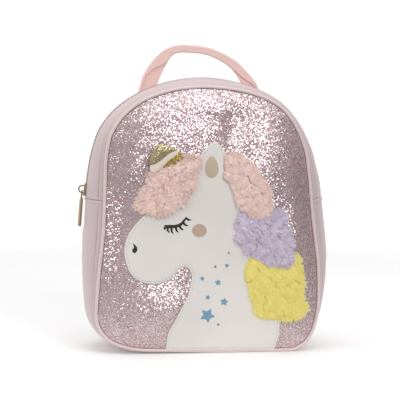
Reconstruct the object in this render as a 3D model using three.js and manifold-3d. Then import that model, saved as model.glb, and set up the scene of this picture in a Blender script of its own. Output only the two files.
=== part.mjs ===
// Small child's backpack with a unicorn on the front, zipped shut and standing on its base.
// Millimetres, +Z up, the front faces -Y and +X is to the right of the front view.
// The origin is the middle of the flat base.
import * as THREE from 'three';
import { mergeVertices } from 'three/addons/utils/BufferGeometryUtils.js';
import Module from 'manifold-3d';

const wasm = await Module();
wasm.setup();

// Driving dimensions: the bag's outline at its front and back seams
const seamWidth = 210;
const seamHeight = 250;
const bagDepth = 95;
const cornerAcross = 46;
const cornerUp = 38;
const shoulderWidth = 191;
const shoulderHeight = 176;
const archSlope = 58;
const archFlat = 50;
const sideLean = 2;

// Driving dimensions: walls, edges and clearances
const panelWall = 1.8;
const backWall = 3;
const gussetWall = 1.8;
const pipingRadius = 1.7;
const pipingProud = 1.1;
const sewnGap = 0.3;
const cutGap = 0.45;
const sideBulge = 15.5;
const swellFullness = 2.4;
const crownHeight = 10;
const crownReach = 60;

// Driving dimensions: the zip and its pull
const zipEndHeight = 143.5;
const zipBehindFront = 43;
const tapeWidth = 14;
const tapeThickness = 1.2;
const tapeInset = 0.8;
const coilWidth = 5;
const coilHeight = 1.6;
const coilSlope = 0.4;
const sliderLength = 12;
const sliderWall = 1.2;
const sliderAboveEnd = 1.6;
const sliderGap = 0.4;
const sliderEdge = 0.4;
const bridgeWidth = 2.4;
const bridgeRadius = 4.1;
const bridgeRise = 1.4;
const bridgeWire = 1.4;
const pinDiameter = 1.4;
const pinGap = 0.25;
const eyeGap = 0.4;
const eyeArm = 1.3;
const barWidth = 4.2;
const barThickness = 2.4;
const barLength = 28;
const barTurn = 32;
const barTipShare = 0.8;
const pullLean = 3;

// Driving dimensions: handle and shoulder straps
const handleSpan = 102;
const handleRise = 50;
const handleFoot = 26;
const webbingWidth = 20;
const webbingThickness = 2.4;
const gripWidth = 11;
const gripThickness = 6.4;
const strapWidth = 30;
const strapThickness = 8;
const strapStandOff = 27;
const strapSpread = seamWidth - 4;
const strapTopApart = 44;
const lowerWebWidth = 20;
const lowerWebThickness = 1.6;
const lowerWebInset = 14;
const adjusterBar = 2.4;
const adjusterPitch = 8;
const adjusterGap = 0.6;
const threadSlack = 1.1;
const threadReach = 12;

// Driving dimensions: what is sewn on the front
const headThickness = 1.6;
const furBacking = 2.2;
const lockLength = 30;
const lockWidth = 20;
const lockHeight = 7;
const lockStagger = 0.8;
const lockSway = 9;
const lockVariety = 0.12;
const hornThickness = 1.6;

// How finely the faces are divided
const panelStep = 15;
const loopSteps = 64;
const lowerSteps = 40;
const lowerAcross = 6;
const upperSteps = 28;
const upperAcross = 3;
const handleSteps = 26;
const strapSteps = 18;
const threadSteps = 12;
const freeSteps = 9;
const sliderSteps = 8;

// The base plane touches the piping's underside, so the seam starts above it
const pipingReach = sewnGap + 2 * pipingRadius;
const seamBottom = pipingReach;
const seamHalf = seamWidth / 2;
const frontY = -bagDepth / 2;
const backY = bagDepth / 2;

// How far the gusset swells past the seams, from the middle of the base (0) to the crest (1)
const bulgeRows = [
  { along: 0, out: 0 },
  { along: 0.17, out: 0 },
  { along: 0.25, out: 0.22 },
  { along: 0.34, out: 0.62 },
  { along: 0.44, out: 0.93 },
  { along: 0.53, out: 1 },
  { along: 0.62, out: 0.92 },
  { along: 0.72, out: 0.58 },
  { along: 0.84, out: 0.36 },
  { along: 1, out: 0.48 },
];

// Soft folds of the front, as shares of the seam's half width and height
const foldRows = [
  { across: -0.72, up: 0.13, turn: 22, length: 0.34, width: 0.06, height: 0.28 },
  { across: -0.48, up: 0.05, turn: 32, length: 0.26, width: 0.05, height: 0.22 },
  { across: 0.27, up: 0.84, turn: 86, length: 0.3, width: 0.09, height: -0.3 },
  { across: 0.5, up: 0.88, turn: 60, length: 0.24, width: 0.08, height: 0.2 },
  { across: -0.9, up: 0.55, turn: 88, length: 0.36, width: 0.09, height: -0.24 },
  { across: 0.9, up: 0.5, turn: 90, length: 0.5, width: 0.08, height: -0.22 },
];

// Outlines of the sewn-on pieces, as shares of the seam's half width and height;
// a row with a corner ends one smooth stretch and starts the next
const headOutline = [
  { across: 0.064, up: 0.805, corner: true },
  { across: -0.03, up: 0.772 },
  { across: -0.075, up: 0.735 },
  { across: -0.14, up: 0.65, corner: true },
  { across: -0.4, up: 0.55, corner: true },
  { across: -0.567, up: 0.525, corner: true },
  { across: -0.667, up: 0.479 },
  { across: -0.731, up: 0.437 },
  { across: -0.759, up: 0.379 },
  { across: -0.722, up: 0.31 },
  { across: -0.64, up: 0.272 },
  { across: -0.494, up: 0.256 },
  { across: -0.366, up: 0.27 },
  { across: -0.283, up: 0.299 },
  { across: -0.21, up: 0.322 },
  { across: -0.151, up: 0.299 },
  { across: -0.155, up: 0.257 },
  { across: -0.192, up: 0.203 },
  { across: -0.256, up: 0.153 },
  { across: -0.32, up: 0.1 },
  { across: -0.366, up: 0.061 },
  { across: -0.384, up: -0.02, corner: true },
  { across: 0.6, up: -0.02, corner: true },
  { across: 0.64, up: 0.038 },
  { across: 0.654, up: 0.09 },
  { across: 0.65, up: 0.17, corner: true },
  { across: 0.46, up: 0.32, corner: true },
  { across: 0.3, up: 0.5, corner: true },
  { across: 0.26, up: 0.57 },
  { across: 0.22, up: 0.632 },
  { across: 0.16, up: 0.67, corner: true },
  { across: 0.178, up: 0.7 },
  { across: 0.174, up: 0.732 },
  { across: 0.137, up: 0.778 },
];
const hornOutline = [
  { across: -0.453, up: 0.793, corner: true },
  { across: -0.375, up: 0.787 },
  { across: -0.262, up: 0.772, corner: true },
  { across: -0.238, up: 0.747 },
  { across: -0.219, up: 0.73, corner: true },
  { across: -0.32, up: 0.708 },
  { across: -0.405, up: 0.704 },
  { across: -0.494, up: 0.68, corner: true },
  { across: -0.527, up: 0.702 },
  { across: -0.527, up: 0.732 },
  { across: -0.526, up: 0.755, corner: true },
];
const flapOutline = [
  { across: -0.453, up: 0.793, corner: true },
  { across: -0.375, up: 0.787 },
  { across: -0.262, up: 0.772, corner: true },
  { across: -0.36, up: 0.735 },
  { across: -0.494, up: 0.68, corner: true },
  { across: -0.527, up: 0.702 },
  { across: -0.527, up: 0.732 },
  { across: -0.526, up: 0.755, corner: true },
];
const forelockOutline = [
  { across: -0.219, up: 0.742, corner: true },
  { across: -0.082, up: 0.742, corner: true },
  { across: -0.091, up: 0.685 },
  { across: -0.11, up: 0.628 },
  { across: -0.165, up: 0.607 },
  { across: -0.219, up: 0.567 },
  { across: -0.302, up: 0.532 },
  { across: -0.457, up: 0.515 },
  { across: -0.567, up: 0.525 },
  { across: -0.676, up: 0.548, corner: true },
  { across: -0.658, up: 0.579 },
  { across: -0.594, up: 0.613 },
  { across: -0.558, up: 0.636 },
  { across: -0.53, up: 0.678, corner: true },
  { across: -0.39, up: 0.72, corner: true },
];
const upperManeOutline = [
  { across: 0.183, up: 0.762, corner: true },
  { across: 0.25, up: 0.762 },
  { across: 0.347, up: 0.739 },
  { across: 0.439, up: 0.709 },
  { across: 0.475, up: 0.69 },
  { across: 0.521, up: 0.644 },
  { across: 0.576, up: 0.598 },
  { across: 0.585, up: 0.54 },
  { across: 0.53, up: 0.514 },
  { across: 0.43, up: 0.512 },
  { across: 0.347, up: 0.535 },
  { across: 0.256, up: 0.556, corner: true },
  { across: 0.229, up: 0.617 },
  { across: 0.16, up: 0.67, corner: true },
  { across: 0.178, up: 0.7 },
];
const middleManeOutline = [
  { across: 0.293, up: 0.58, corner: true },
  { across: 0.6, up: 0.54, corner: true },
  { across: 0.695, up: 0.532 },
  { across: 0.731, up: 0.483 },
  { across: 0.759, up: 0.425 },
  { across: 0.786, up: 0.39 },
  { across: 0.768, up: 0.345 },
  { across: 0.7, up: 0.322 },
  { across: 0.6, up: 0.326 },
  { across: 0.49, up: 0.345 },
  { across: 0.384, up: 0.368 },
  { across: 0.325, up: 0.398 },
  { across: 0.27, up: 0.425 },
  { across: 0.272, up: 0.47 },
];
const lowerManeOutline = [
  { across: 0.42, up: 0.36, corner: true },
  { across: 0.76, up: 0.37, corner: true },
  { across: 0.832, up: 0.335 },
  { across: 0.85, up: 0.28 },
  { across: 0.87, up: 0.215 },
  { across: 0.905, up: 0.165 },
  { across: 0.86, up: 0.128 },
  { across: 0.731, up: 0.119 },
  { across: 0.585, up: 0.126 },
  { across: 0.475, up: 0.138 },
  { across: 0.42, up: 0.184 },
  { across: 0.388, up: 0.225 },
  { across: 0.366, up: 0.28 },
  { across: 0.358, up: 0.325 },
];

// The handle's run, as shares of half its span and of its rise above the seam
const handleRows = [
  { across: -1, up: -0.52, wide: 1, grip: 0 },
  { across: -1.01, up: 0.08, wide: 1, grip: 0 },
  { across: -0.97, up: 0.3, wide: 0.92, grip: 0.05 },
  { across: -0.84, up: 0.57, wide: 0.7, grip: 0.35 },
  { across: -0.66, up: 0.82, wide: 0.5, grip: 0.9 },
  { across: -0.42, up: 0.97, wide: 0.5, grip: 1 },
  { across: -0.14, up: 1, wide: 0.5, grip: 1 },
  { across: 0.15, up: 0.96, wide: 0.5, grip: 1 },
  { across: 0.42, up: 0.88, wide: 0.5, grip: 1 },
  { across: 0.65, up: 0.75, wide: 0.5, grip: 0.9 },
  { across: 0.83, up: 0.58, wide: 0.7, grip: 0.35 },
  { across: 0.95, up: 0.36, wide: 0.92, grip: 0.05 },
  { across: 1, up: 0.12, wide: 1, grip: 0 },
  { across: 1, up: -0.52, wide: 1, grip: 0 },
];

// The padded strap's run: apart goes from the top spacing (0) to the full spread (1),
// back is a share of the stand-off and up a share of the seam's height
const strapRows = [
  { apart: 0, back: 0, up: 0.82, thick: 0.5 },
  { apart: 0, back: 0, up: 0.86, thick: 0.5 },
  { apart: 0, back: 0.03, up: 0.905, thick: 0.5 },
  { apart: 0.03, back: 0.26, up: 0.962, thick: 0.8 },
  { apart: 0.13, back: 0.72, up: 0.95, thick: 1 },
  { apart: 0.3, back: 0.97, up: 0.86, thick: 1 },
  { apart: 0.55, back: 1, up: 0.72, thick: 1 },
  { apart: 0.8, back: 0.86, up: 0.56, thick: 1 },
  { apart: 0.97, back: 0.66, up: 0.43, thick: 0.9 },
  { apart: 0.99, back: 0.52, up: 0.35, thick: 0.6 },
];

// The lower webbing's run to its seam: toFoot goes from the adjuster (0) to the seam (1) across
// the bag, back is a share of the stand-off and up a share of the corner's height
const webbingRows = [
  { toFoot: 0.6, back: 0.11, up: 0.45 },
  { toFoot: 0.8, back: 0.015, up: 0.21 },
  { toFoot: 1, back: 0, up: 0.03 },
  { toFoot: 1.07, back: 0, up: -0.16 },
];

// One lock of fur from root to tip, and the pull's bar from its neck to its tip
const lockRows = [
  { along: 0, thick: 0.55, lift: 0.1 },
  { along: 0.3, thick: 1, lift: 0.42 },
  { along: 0.7, thick: 0.8, lift: 0.5 },
  { along: 1, thick: 0.16, lift: 0.3 },
];
const barRows = [
  { along: 0, full: barTipShare, turned: 0 },
  { along: 0.06, full: 1, turned: 1 },
  { along: 0.94, full: 1, turned: 1 },
  { along: 1, full: barTipShare, turned: 1 },
];

const toRadians = THREE.MathUtils.degToRad;

// A smooth curve through a table's rows, read at one place along them
function readTable(rows, key, column, place) {
  const last = rows.length - 1;
  const at = THREE.MathUtils.clamp(place, rows[0][key], rows[last][key]);
  let row = 0;
  while (row < last - 1 && at > rows[row + 1][key]) row += 1;
  const slope = (a, b) => (rows[b][column] - rows[a][column]) / (rows[b][key] - rows[a][key]);
  const level = (i) => i === 0 || i === last || slope(i - 1, i) * slope(i, i + 1) <= 0;
  const slopeAt = (i) => (level(i) ? 0 : slope(i - 1, i + 1));
  const run = rows[row + 1][key] - rows[row][key];
  const t = (at - rows[row][key]) / run;
  const ease = t * t * (3 - 2 * t);
  const fromStart = t * (1 - t) * (1 - t) * run * slopeAt(row);
  const fromEnd = t * t * (t - 1) * run * slopeAt(row + 1);
  return THREE.MathUtils.lerp(rows[row][column], rows[row + 1][column], ease) + fromStart + fromEnd;
}

// The seam's right half, from the middle of the base to the middle of the crest
function makeSeamHalf() {
  const round = 0.55;
  const shoulder = shoulderWidth / 2;
  const sideRun = (shoulderHeight - cornerUp) / 3;
  const half = new THREE.Path();
  half.moveTo(0, seamBottom);
  half.lineTo(seamHalf - cornerAcross, seamBottom);
  half.bezierCurveTo(
    seamHalf - cornerAcross * (1 - round), seamBottom,
    seamHalf, seamBottom + cornerUp * (1 - round),
    seamHalf, seamBottom + cornerUp,
  );
  half.bezierCurveTo(
    seamHalf, seamBottom + cornerUp + sideRun,
    shoulder + sideLean, seamBottom + shoulderHeight - sideRun,
    shoulder, seamBottom + shoulderHeight,
  );
  half.bezierCurveTo(
    shoulder - sideLean, seamBottom + shoulderHeight + archSlope,
    archFlat, seamBottom + seamHeight,
    0, seamBottom + seamHeight,
  );
  return half;
}
const seamCurve = makeSeamHalf();

// A place on the loop: 0 is the middle of the base, 1 the crest, and it runs on over the
// crest to the left side; offset is how far outside the seam it lies
function onLoop(place, offset) {
  const left = place > 1 || place < 0;
  const along = place > 1 ? 2 - place : Math.abs(place);
  const point = seamCurve.getPoint(along);
  const run = seamCurve.getTangent(along);
  const across = point.x + run.y * offset;
  return new THREE.Vector2(left ? -across : across, point.y - run.x * offset);
}

// How far outside the seam the gusset lies: swell is 0 at both seams and 1 between them
const gussetFront = frontY - pipingProud + 2 * pipingRadius + sewnGap;
const gussetBack = backY - 2 * pipingRadius - sewnGap;
function gussetOffset(place, y) {
  const along = place > 1 ? 2 - place : Math.abs(place);
  const share = (y - gussetFront) / (gussetBack - gussetFront);
  const swell = 1 - Math.abs(2 * share - 1) ** swellFullness;
  return pipingReach + sideBulge * readTable(bulgeRows, 'along', 'out', along) * swell;
}

// Where along the seam's half a height on its side is reached
function alongAtHeight(height) {
  let low = 0.3;
  let high = 0.9;
  for (let step = 0; step < 30; step += 1) {
    const middle = (low + high) / 2;
    if (seamCurve.getPoint(middle).y < height) low = middle;
    else high = middle;
  }
  return (low + high) / 2;
}

function loopOutline(offset) {
  const points = [];
  for (let step = 0; step < loopSteps; step += 1) points.push(onLoop(2 * step / loopSteps, offset));
  return points;
}
const seamOutline = loopOutline(0);

// How far inside the seam a point of the front lies, and 0 outside it
function insideSeam(x, z) {
  let nearest = Infinity;
  let inside = false;
  for (let i = 0, j = loopSteps - 1; i < loopSteps; j = i, i += 1) {
    const a = seamOutline[j];
    const b = seamOutline[i];
    const runX = b.x - a.x;
    const runZ = b.y - a.y;
    const t = ((x - a.x) * runX + (z - a.y) * runZ) / (runX * runX + runZ * runZ);
    const near = THREE.MathUtils.clamp(t, 0, 1);
    nearest = Math.min(nearest, Math.hypot(x - a.x - near * runX, z - a.y - near * runZ));
    if ((a.y > z) !== (b.y > z) && x < a.x + (z - a.y) / runZ * runX) inside = !inside;
  }
  return inside ? nearest : 0;
}

// How far the front stands out past its seam: a soft crown and its folds
function frontRelief(x, z) {
  const reach = Math.min(insideSeam(x, z) / crownReach, 1);
  const rise = 1 - (1 - reach) ** 2;
  let folds = 0;
  for (const fold of foldRows) {
    const turn = toRadians(fold.turn);
    const fromX = x - fold.across * seamHalf;
    const fromZ = z - seamBottom - fold.up * seamHeight;
    const along = (fromX * Math.cos(turn) + fromZ * Math.sin(turn)) / (fold.length * seamHeight / 2);
    const aside = (fromZ * Math.cos(turn) - fromX * Math.sin(turn)) / (fold.width * seamHeight);
    folds += fold.height * Math.exp(-along * along - aside * aside);
  }
  return crownHeight * (rise + folds * Math.min(4 * reach, 1));
}

// Geometry from vertices and triangles, turned so that its faces point out
function closedGeometry(vertices, triangles) {
  const volume = triangles.reduce((sum, [a, b, c]) => {
    const cross = new THREE.Vector3().crossVectors(vertices[b], vertices[c]);
    return sum + vertices[a].dot(cross);
  }, 0);
  const order = volume < 0 ? ([a, b, c]) => [a, c, b] : (triangle) => triangle;
  const geometry = new THREE.BufferGeometry();
  geometry.setAttribute('position', new THREE.Float32BufferAttribute(
    vertices.flatMap((point) => [point.x, point.y, point.z]), 3));
  geometry.setIndex(triangles.flatMap(order));
  return geometry;
}

// A solid whose rings of points follow one another, closed by caps or as a loop
function loft(rings, { closed = false, cap = fanCap } = {}) {
  const size = rings[0].length;
  const triangles = [];
  const last = closed ? rings.length : rings.length - 1;
  for (let ring = 0; ring < last; ring += 1) {
    const next = (ring + 1) % rings.length;
    for (let i = 0; i < size; i += 1) {
      const j = (i + 1) % size;
      triangles.push([ring * size + i, ring * size + j, next * size + j]);
      triangles.push([ring * size + i, next * size + j, next * size + i]);
    }
  }
  if (!closed) {
    const end = (rings.length - 1) * size;
    for (const [a, b, c] of cap(size)) {
      triangles.push([a, c, b]);
      triangles.push([end + a, end + b, end + c]);
    }
  }
  return closedGeometry(rings.flat(), triangles);
}

// Caps: a fan for round sections, a strip between the two faces of a wall
function fanCap(size) {
  const cap = [];
  for (let i = 1; i < size - 1; i += 1) cap.push([0, i, i + 1]);
  return cap;
}
function wallCap(size) {
  const cap = [];
  for (let i = 0; i < size / 2 - 1; i += 1) {
    cap.push([i, i + 1, size - 2 - i]);
    cap.push([i, size - 2 - i, size - 1 - i]);
  }
  return cap;
}

// A sewn wall that follows the loop: outer and inner give its offset at each y
function loopWall({ from, to, steps, depths, outer, inner }) {
  const rings = [];
  for (let step = 0; step <= steps; step += 1) {
    const place = from + (to - from) * step / steps;
    const face = (offsetAt) => depths.map((y) => {
      const point = onLoop(place, offsetAt(place, y));
      return new THREE.Vector3(point.x, y, point.y);
    });
    rings.push([...face(outer), ...face(inner).reverse()]);
  }
  return loft(rings, { cap: wallCap });
}

function evenly(from, to, count) {
  return Array.from({ length: count + 1 }, (_, i) => from + (to - from) * i / count);
}

// Piping: a round cord sewn in along the whole seam
function makePiping(centreY) {
  const sides = 6;
  const rings = [];
  for (let step = 0; step < loopSteps; step += 1) {
    const ring = [];
    for (let side = 0; side < sides; side += 1) {
      const angle = 2 * Math.PI * side / sides;
      const offset = sewnGap + pipingRadius * (1 + Math.cos(angle));
      const point = onLoop(2 * step / loopSteps, offset);
      ring.push(new THREE.Vector3(point.x, centreY + pipingRadius * Math.sin(angle), point.y));
    }
    rings.push(ring);
  }
  return loft(rings, { closed: true });
}

// Gusset: one band round the base and sides, and two strips beside the zip over the top
const zipY = frontY + zipBehindFront;
const zipEnd = alongAtHeight(seamBottom + zipEndHeight);
const endGap = sewnGap / (2 * seamCurve.getLength());
const gussetInner = (place, y) => gussetOffset(place, y) - gussetWall;

function makeLowerGusset() {
  return loopWall({
    from: endGap - zipEnd,
    to: zipEnd - endGap,
    steps: lowerSteps,
    depths: evenly(gussetFront, gussetBack, lowerAcross),
    outer: gussetOffset,
    inner: gussetInner,
  });
}

function makeUpperStrip(fromY, toY) {
  return loopWall({
    from: zipEnd + endGap,
    to: 2 - zipEnd - endGap,
    steps: upperSteps,
    depths: evenly(fromY, toY, upperAcross),
    outer: gussetOffset,
    inner: gussetInner,
  });
}

// Zip: a flat tape with the closed coil as a ridge along its middle
const tapeOffset = (place) => gussetOffset(place, zipY) - tapeInset;
function makeZipper() {
  const ridge = coilWidth / 2;
  const foot = ridge + coilSlope;
  const depths = [-tapeWidth / 2, -foot, -ridge, ridge, foot, tapeWidth / 2];
  return loopWall({
    from: zipEnd + endGap,
    to: 2 - zipEnd - endGap,
    steps: upperSteps,
    depths: depths.map((across) => zipY + across),
    outer: (place, y) => tapeOffset(place) + (Math.abs(y - zipY) <= ridge ? coilHeight : 0),
    inner: (place) => tapeOffset(place) - tapeThickness,
  });
}

// Solids from three.js geometry and back, for joining and cutting
function toSolid(geometry) {
  const bare = geometry.clone();
  bare.deleteAttribute('normal');
  bare.deleteAttribute('uv');
  const merged = mergeVertices(bare, 1e-4);
  return new wasm.Manifold(new wasm.Mesh({
    numProp: 3,
    vertProperties: new Float32Array(merged.attributes.position.array),
    triVerts: new Uint32Array(merged.index.array),
  }));
}
function toGeometry(solid) {
  const mesh = solid.getMesh();
  const geometry = new THREE.BufferGeometry();
  geometry.setAttribute('position', new THREE.BufferAttribute(mesh.vertProperties, mesh.numProp));
  geometry.setIndex(new THREE.BufferAttribute(mesh.triVerts, 1));
  return geometry;
}

// A layer over the front that follows its relief between two heights above it
function frontLayer(low, high) {
  const columns = Math.ceil(seamWidth / panelStep) + 2;
  const rows = Math.ceil(seamHeight / panelStep) + 2;
  const face = (height) => {
    const points = [];
    for (let row = 0; row <= rows; row += 1) {
      const z = seamBottom + (row - 1) * seamHeight / (rows - 2);
      for (let column = 0; column <= columns; column += 1) {
        const x = -seamHalf + (column - 1) * seamWidth / (columns - 2);
        points.push(new THREE.Vector3(x, frontY - frontRelief(x, z) - height, z));
      }
    }
    return points;
  };
  const wide = columns + 1;
  const triangles = [];
  const inner = wide * (rows + 1);
  for (let row = 0; row < rows; row += 1) {
    for (let column = 0; column < columns; column += 1) {
      const a = row * wide + column;
      const [b, c, d] = [a + 1, a + wide, a + wide + 1];
      triangles.push([a, b, d], [a, d, c]);
      triangles.push([inner + a, inner + d, inner + b], [inner + a, inner + c, inner + d]);
    }
  }
  const rim = [];
  for (let column = 0; column < columns; column += 1) rim.push(column);
  for (let row = 0; row < rows; row += 1) rim.push(row * wide + columns);
  for (let column = columns; column > 0; column -= 1) rim.push(rows * wide + column);
  for (let row = rows; row > 0; row -= 1) rim.push(row * wide);
  rim.forEach((a, i) => {
    const b = rim[(i + 1) % rim.length];
    triangles.push([a, inner + a, inner + b], [a, inner + b, b]);
  });
  return toSolid(closedGeometry([...face(high), ...face(low)], triangles));
}

// An outline, pushed out by some distance and made into a block through the front
function block(points, distance = 0) {
  const count = points.length;
  const turn = THREE.ShapeUtils.isClockWise(points) ? -1 : 1;
  const moved = points.map((point, i) => {
    const run = points[(i + 1) % count].clone().sub(points[(i + count - 1) % count]).normalize();
    return new THREE.Vector2(point.x + turn * run.y * distance, point.y - turn * run.x * distance);
  });
  const geometry = new THREE.ExtrudeGeometry(new THREE.Shape(moved), {
    depth: bagDepth,
    bevelEnabled: false,
    steps: 1,
  });
  geometry.rotateX(Math.PI / 2);
  return toSolid(geometry);
}

// A table of shares made into points, smooth between its corners
function outlinePoints(rows, spacing) {
  const start = rows.findIndex((row) => row.corner);
  const order = [...rows.slice(start), ...rows.slice(0, start), rows[start]];
  const points = [];
  let stretch = [];
  for (const row of order) {
    const x = row.across * seamHalf;
    stretch.push(new THREE.Vector2(x, seamBottom + row.up * seamHeight));
    if (row.corner && stretch.length > 1) {
      const curve = stretch.length > 2 ? new THREE.SplineCurve(stretch)
        : new THREE.LineCurve(...stretch);
      const count = stretch.length > 2 ? Math.ceil(curve.getLength() / spacing) : 1;
      points.push(...curve.getSpacedPoints(count).slice(0, -1));
      stretch = [stretch[stretch.length - 1]];
    }
  }
  return points;
}

const appliqueSpacing = 6;
const furSpacing = 7;
const outlines = {
  head: outlinePoints(headOutline, appliqueSpacing),
  horn: outlinePoints(hornOutline, appliqueSpacing),
  flap: outlinePoints(flapOutline, appliqueSpacing),
  forelock: outlinePoints(forelockOutline, furSpacing),
  upperMane: outlinePoints(upperManeOutline, furSpacing),
  middleMane: outlinePoints(middleManeOutline, furSpacing),
  lowerMane: outlinePoints(lowerManeOutline, furSpacing),
};
const sewnArea = block(seamOutline, -sewnGap);

function frontArea(outline, neighbours = []) {
  let area = block(outline).intersect(sewnArea);
  for (const neighbour of neighbours) area = area.subtract(block(neighbour, cutGap));
  return area;
}

// One lock of fur: a tapering tuft that leaves the backing and comes back down to a tip
function makeLock(x, z, turn, size) {
  const sides = 5;
  const direction = new THREE.Vector2(Math.sin(turn), -Math.cos(turn));
  const rings = lockRows.map(({ along, thick, lift }) => {
    const centreX = x + direction.x * along * lockLength * size;
    const centreZ = z + direction.y * along * lockLength * size;
    const floor = frontY - frontRelief(centreX, centreZ) - sewnGap - furBacking;
    const ring = [];
    for (let side = 0; side < sides; side += 1) {
      const angle = 2 * Math.PI * side / sides;
      const aside = Math.cos(angle) * thick * lockWidth * size / 2;
      const up = (lift + Math.sin(angle) * thick / 2) * lockHeight;
      ring.push(new THREE.Vector3(
        centreX - direction.y * aside, floor - up, centreZ + direction.x * aside));
    }
    return ring;
  });
  return toSolid(loft(rings));
}

// Fur: rows of overlapping locks on a backing, cut to the patch's outline
function makeFur(outline, neighbours, { lean, fan }) {
  const area = frontArea(outline, neighbours);
  let fur = frontLayer(sewnGap, sewnGap + furBacking).intersect(area);
  const lowest = Math.min(...outline.map((point) => point.y));
  const highest = Math.max(...outline.map((point) => point.y));
  const rowCount = Math.max(2, Math.round((highest - lowest) / (lockLength * lockStagger)));
  for (let row = 0; row < rowCount; row += 1) {
    const z = highest - (row + 0.25) * (highest - lowest) / rowCount;
    const crossings = spanAt(outline, z);
    const count = Math.max(2, Math.round((crossings.right - crossings.left) / lockWidth));
    for (let i = 0; i < count; i += 1) {
      const share = (i + 0.5) / count;
      const x = THREE.MathUtils.lerp(crossings.left, crossings.right, share);
      const turn = toRadians(lean + fan * (share - 0.5) + lockSway * Math.sin(5 * row + 3 * i));
      const size = 1 + lockVariety * Math.sin(7 * row + 4 * i);
      fur = fur.add(makeLock(x, z, turn, size).intersect(area));
    }
  }
  return toGeometry(fur);
}

// The left and right ends of an outline at one height
function spanAt(outline, z) {
  const crossings = [];
  outline.forEach((a, i) => {
    const b = outline[(i + 1) % outline.length];
    if ((a.y > z) !== (b.y > z)) crossings.push(a.x + (z - a.y) / (b.y - a.y) * (b.x - a.x));
  });
  return { left: Math.min(...crossings), right: Math.max(...crossings) };
}

// Horn: a stuffed cone folded over, so that its tip lies on top of its root
function makeHorn() {
  const root = frontLayer(sewnGap, sewnGap + hornThickness).intersect(frontArea(outlines.horn));
  const raised = sewnGap + hornThickness / 2;
  const flap = frontLayer(raised, raised + 2 * hornThickness).intersect(frontArea(outlines.flap));
  return toGeometry(root.add(flap));
}

function makeHead() {
  const { head, flap, ...neighbours } = outlines;
  const area = frontArea(head, Object.values(neighbours));
  return toGeometry(frontLayer(sewnGap, sewnGap + headThickness).intersect(area));
}

function makeFrontPanel() {
  return toGeometry(frontLayer(-panelWall, 0).intersect(block(seamOutline)));
}

function makeBackPanel() {
  const geometry = new THREE.ExtrudeGeometry(new THREE.Shape(seamOutline), {
    depth: backWall,
    bevelEnabled: false,
    steps: 1,
  });
  geometry.rotateX(Math.PI / 2);
  geometry.translate(0, backY, 0);
  return geometry;
}

// Places along a curve, each with its run, its side and what it faces. The side either keeps
// the way it had before, points across the bag, or stays level with the bag's back.
const acrossBag = new THREE.Vector3(1, 0, 0);
const backward = new THREE.Vector3(0, 1, 0);
const untwisted = (run, side) => side.clone().addScaledVector(run, -side.dot(run)).normalize();
const crosswise = (run) => untwisted(run, acrossBag);
const levelWithBack = (run) => new THREE.Vector3().crossVectors(run, backward).normalize();
function framesAlong(curve, shares, nextSide) {
  const frames = [];
  let side = acrossBag;
  for (const share of shares) {
    const run = curve.getTangentAt(share);
    side = nextSide(run, side);
    const front = new THREE.Vector3().crossVectors(side, run);
    frames.push({ centre: curve.getPointAt(share), run, side, front, share });
  }
  return frames;
}

// A flat section with chamfered edges: turn rolls it about its run, lift moves it along its front
function ribbonRing(frame, { wide, thick, turn = 0, lift = 0, chamfer = 0.3 }) {
  const angle = toRadians(turn);
  const [w, t] = [wide / 2, thick / 2];
  const cut = chamfer * thick;
  const corners = chamfer === 0 ? [[w, t], [-w, t], [-w, -t], [w, -t]] : [
    [w, t - cut], [w - cut, t], [cut - w, t], [-w, t - cut],
    [-w, cut - t], [cut - w, -t], [w - cut, -t], [w, cut - t],
  ];
  return corners.map(([across, out]) => frame.centre.clone()
    .addScaledVector(frame.side, across * Math.cos(angle) - out * Math.sin(angle))
    .addScaledVector(frame.front, across * Math.sin(angle) + out * Math.cos(angle) + lift));
}

// A table's column at a share of the curve drawn through its rows
function columnAt(rows, column, curve, share) {
  const at = curve.getUtoTmapping(share) * (rows.length - 1);
  const row = Math.min(Math.floor(at), rows.length - 2);
  return THREE.MathUtils.lerp(rows[row][column], rows[row + 1][column], at - row);
}
const smoothRun = (points) => new THREE.CatmullRomCurve3(points, false, 'centripetal');

// Handle: flat webbing at its feet, folded lengthwise into a grip
function handleBase() {
  let along = 1;
  while (seamCurve.getPoint(along).x < handleSpan / 2) along -= 0.002;
  return seamCurve.getPoint(along).y;
}
function makeHandle() {
  const footZ = handleBase();
  const layY = backY + sewnGap + webbingThickness / 2;
  const curve = smoothRun(handleRows.map((row) => new THREE.Vector3(
    row.across * handleSpan / 2,
    layY,
    footZ + (row.up < 0 ? -handleFoot : row.up * handleRise),
  )));
  return loft(framesAlong(curve, evenly(0, 1, handleSteps), untwisted).map((frame) => {
    const grip = columnAt(handleRows, 'grip', curve, frame.share);
    const flat = webbingWidth * columnAt(handleRows, 'wide', curve, frame.share);
    return ribbonRing(frame, {
      wide: THREE.MathUtils.lerp(flat, gripWidth, grip),
      thick: THREE.MathUtils.lerp(webbingThickness, gripThickness, grip),
      turn: 90 * grip,
    });
  }));
}

// Shoulder straps: sewn flat to the back at the top, standing off it further down
function strapPoint(side, row) {
  return new THREE.Vector3(
    side * THREE.MathUtils.lerp(strapTopApart, strapSpread, row.apart) / 2,
    backY + sewnGap + row.thick * strapThickness / 2 + row.back * strapStandOff,
    seamBottom + row.up * seamHeight,
  );
}
const strapCurve = (side) => smoothRun(strapRows.map((row) => strapPoint(side, row)));
function makeStrap(side) {
  const curve = strapCurve(side);
  const frames = framesAlong(curve, evenly(0, 1, strapSteps), crosswise);
  return loft(frames.map((frame) => ribbonRing(frame, {
    wide: strapWidth,
    thick: strapThickness * columnAt(strapRows, 'thick', curve, frame.share),
  })));
}

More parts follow.
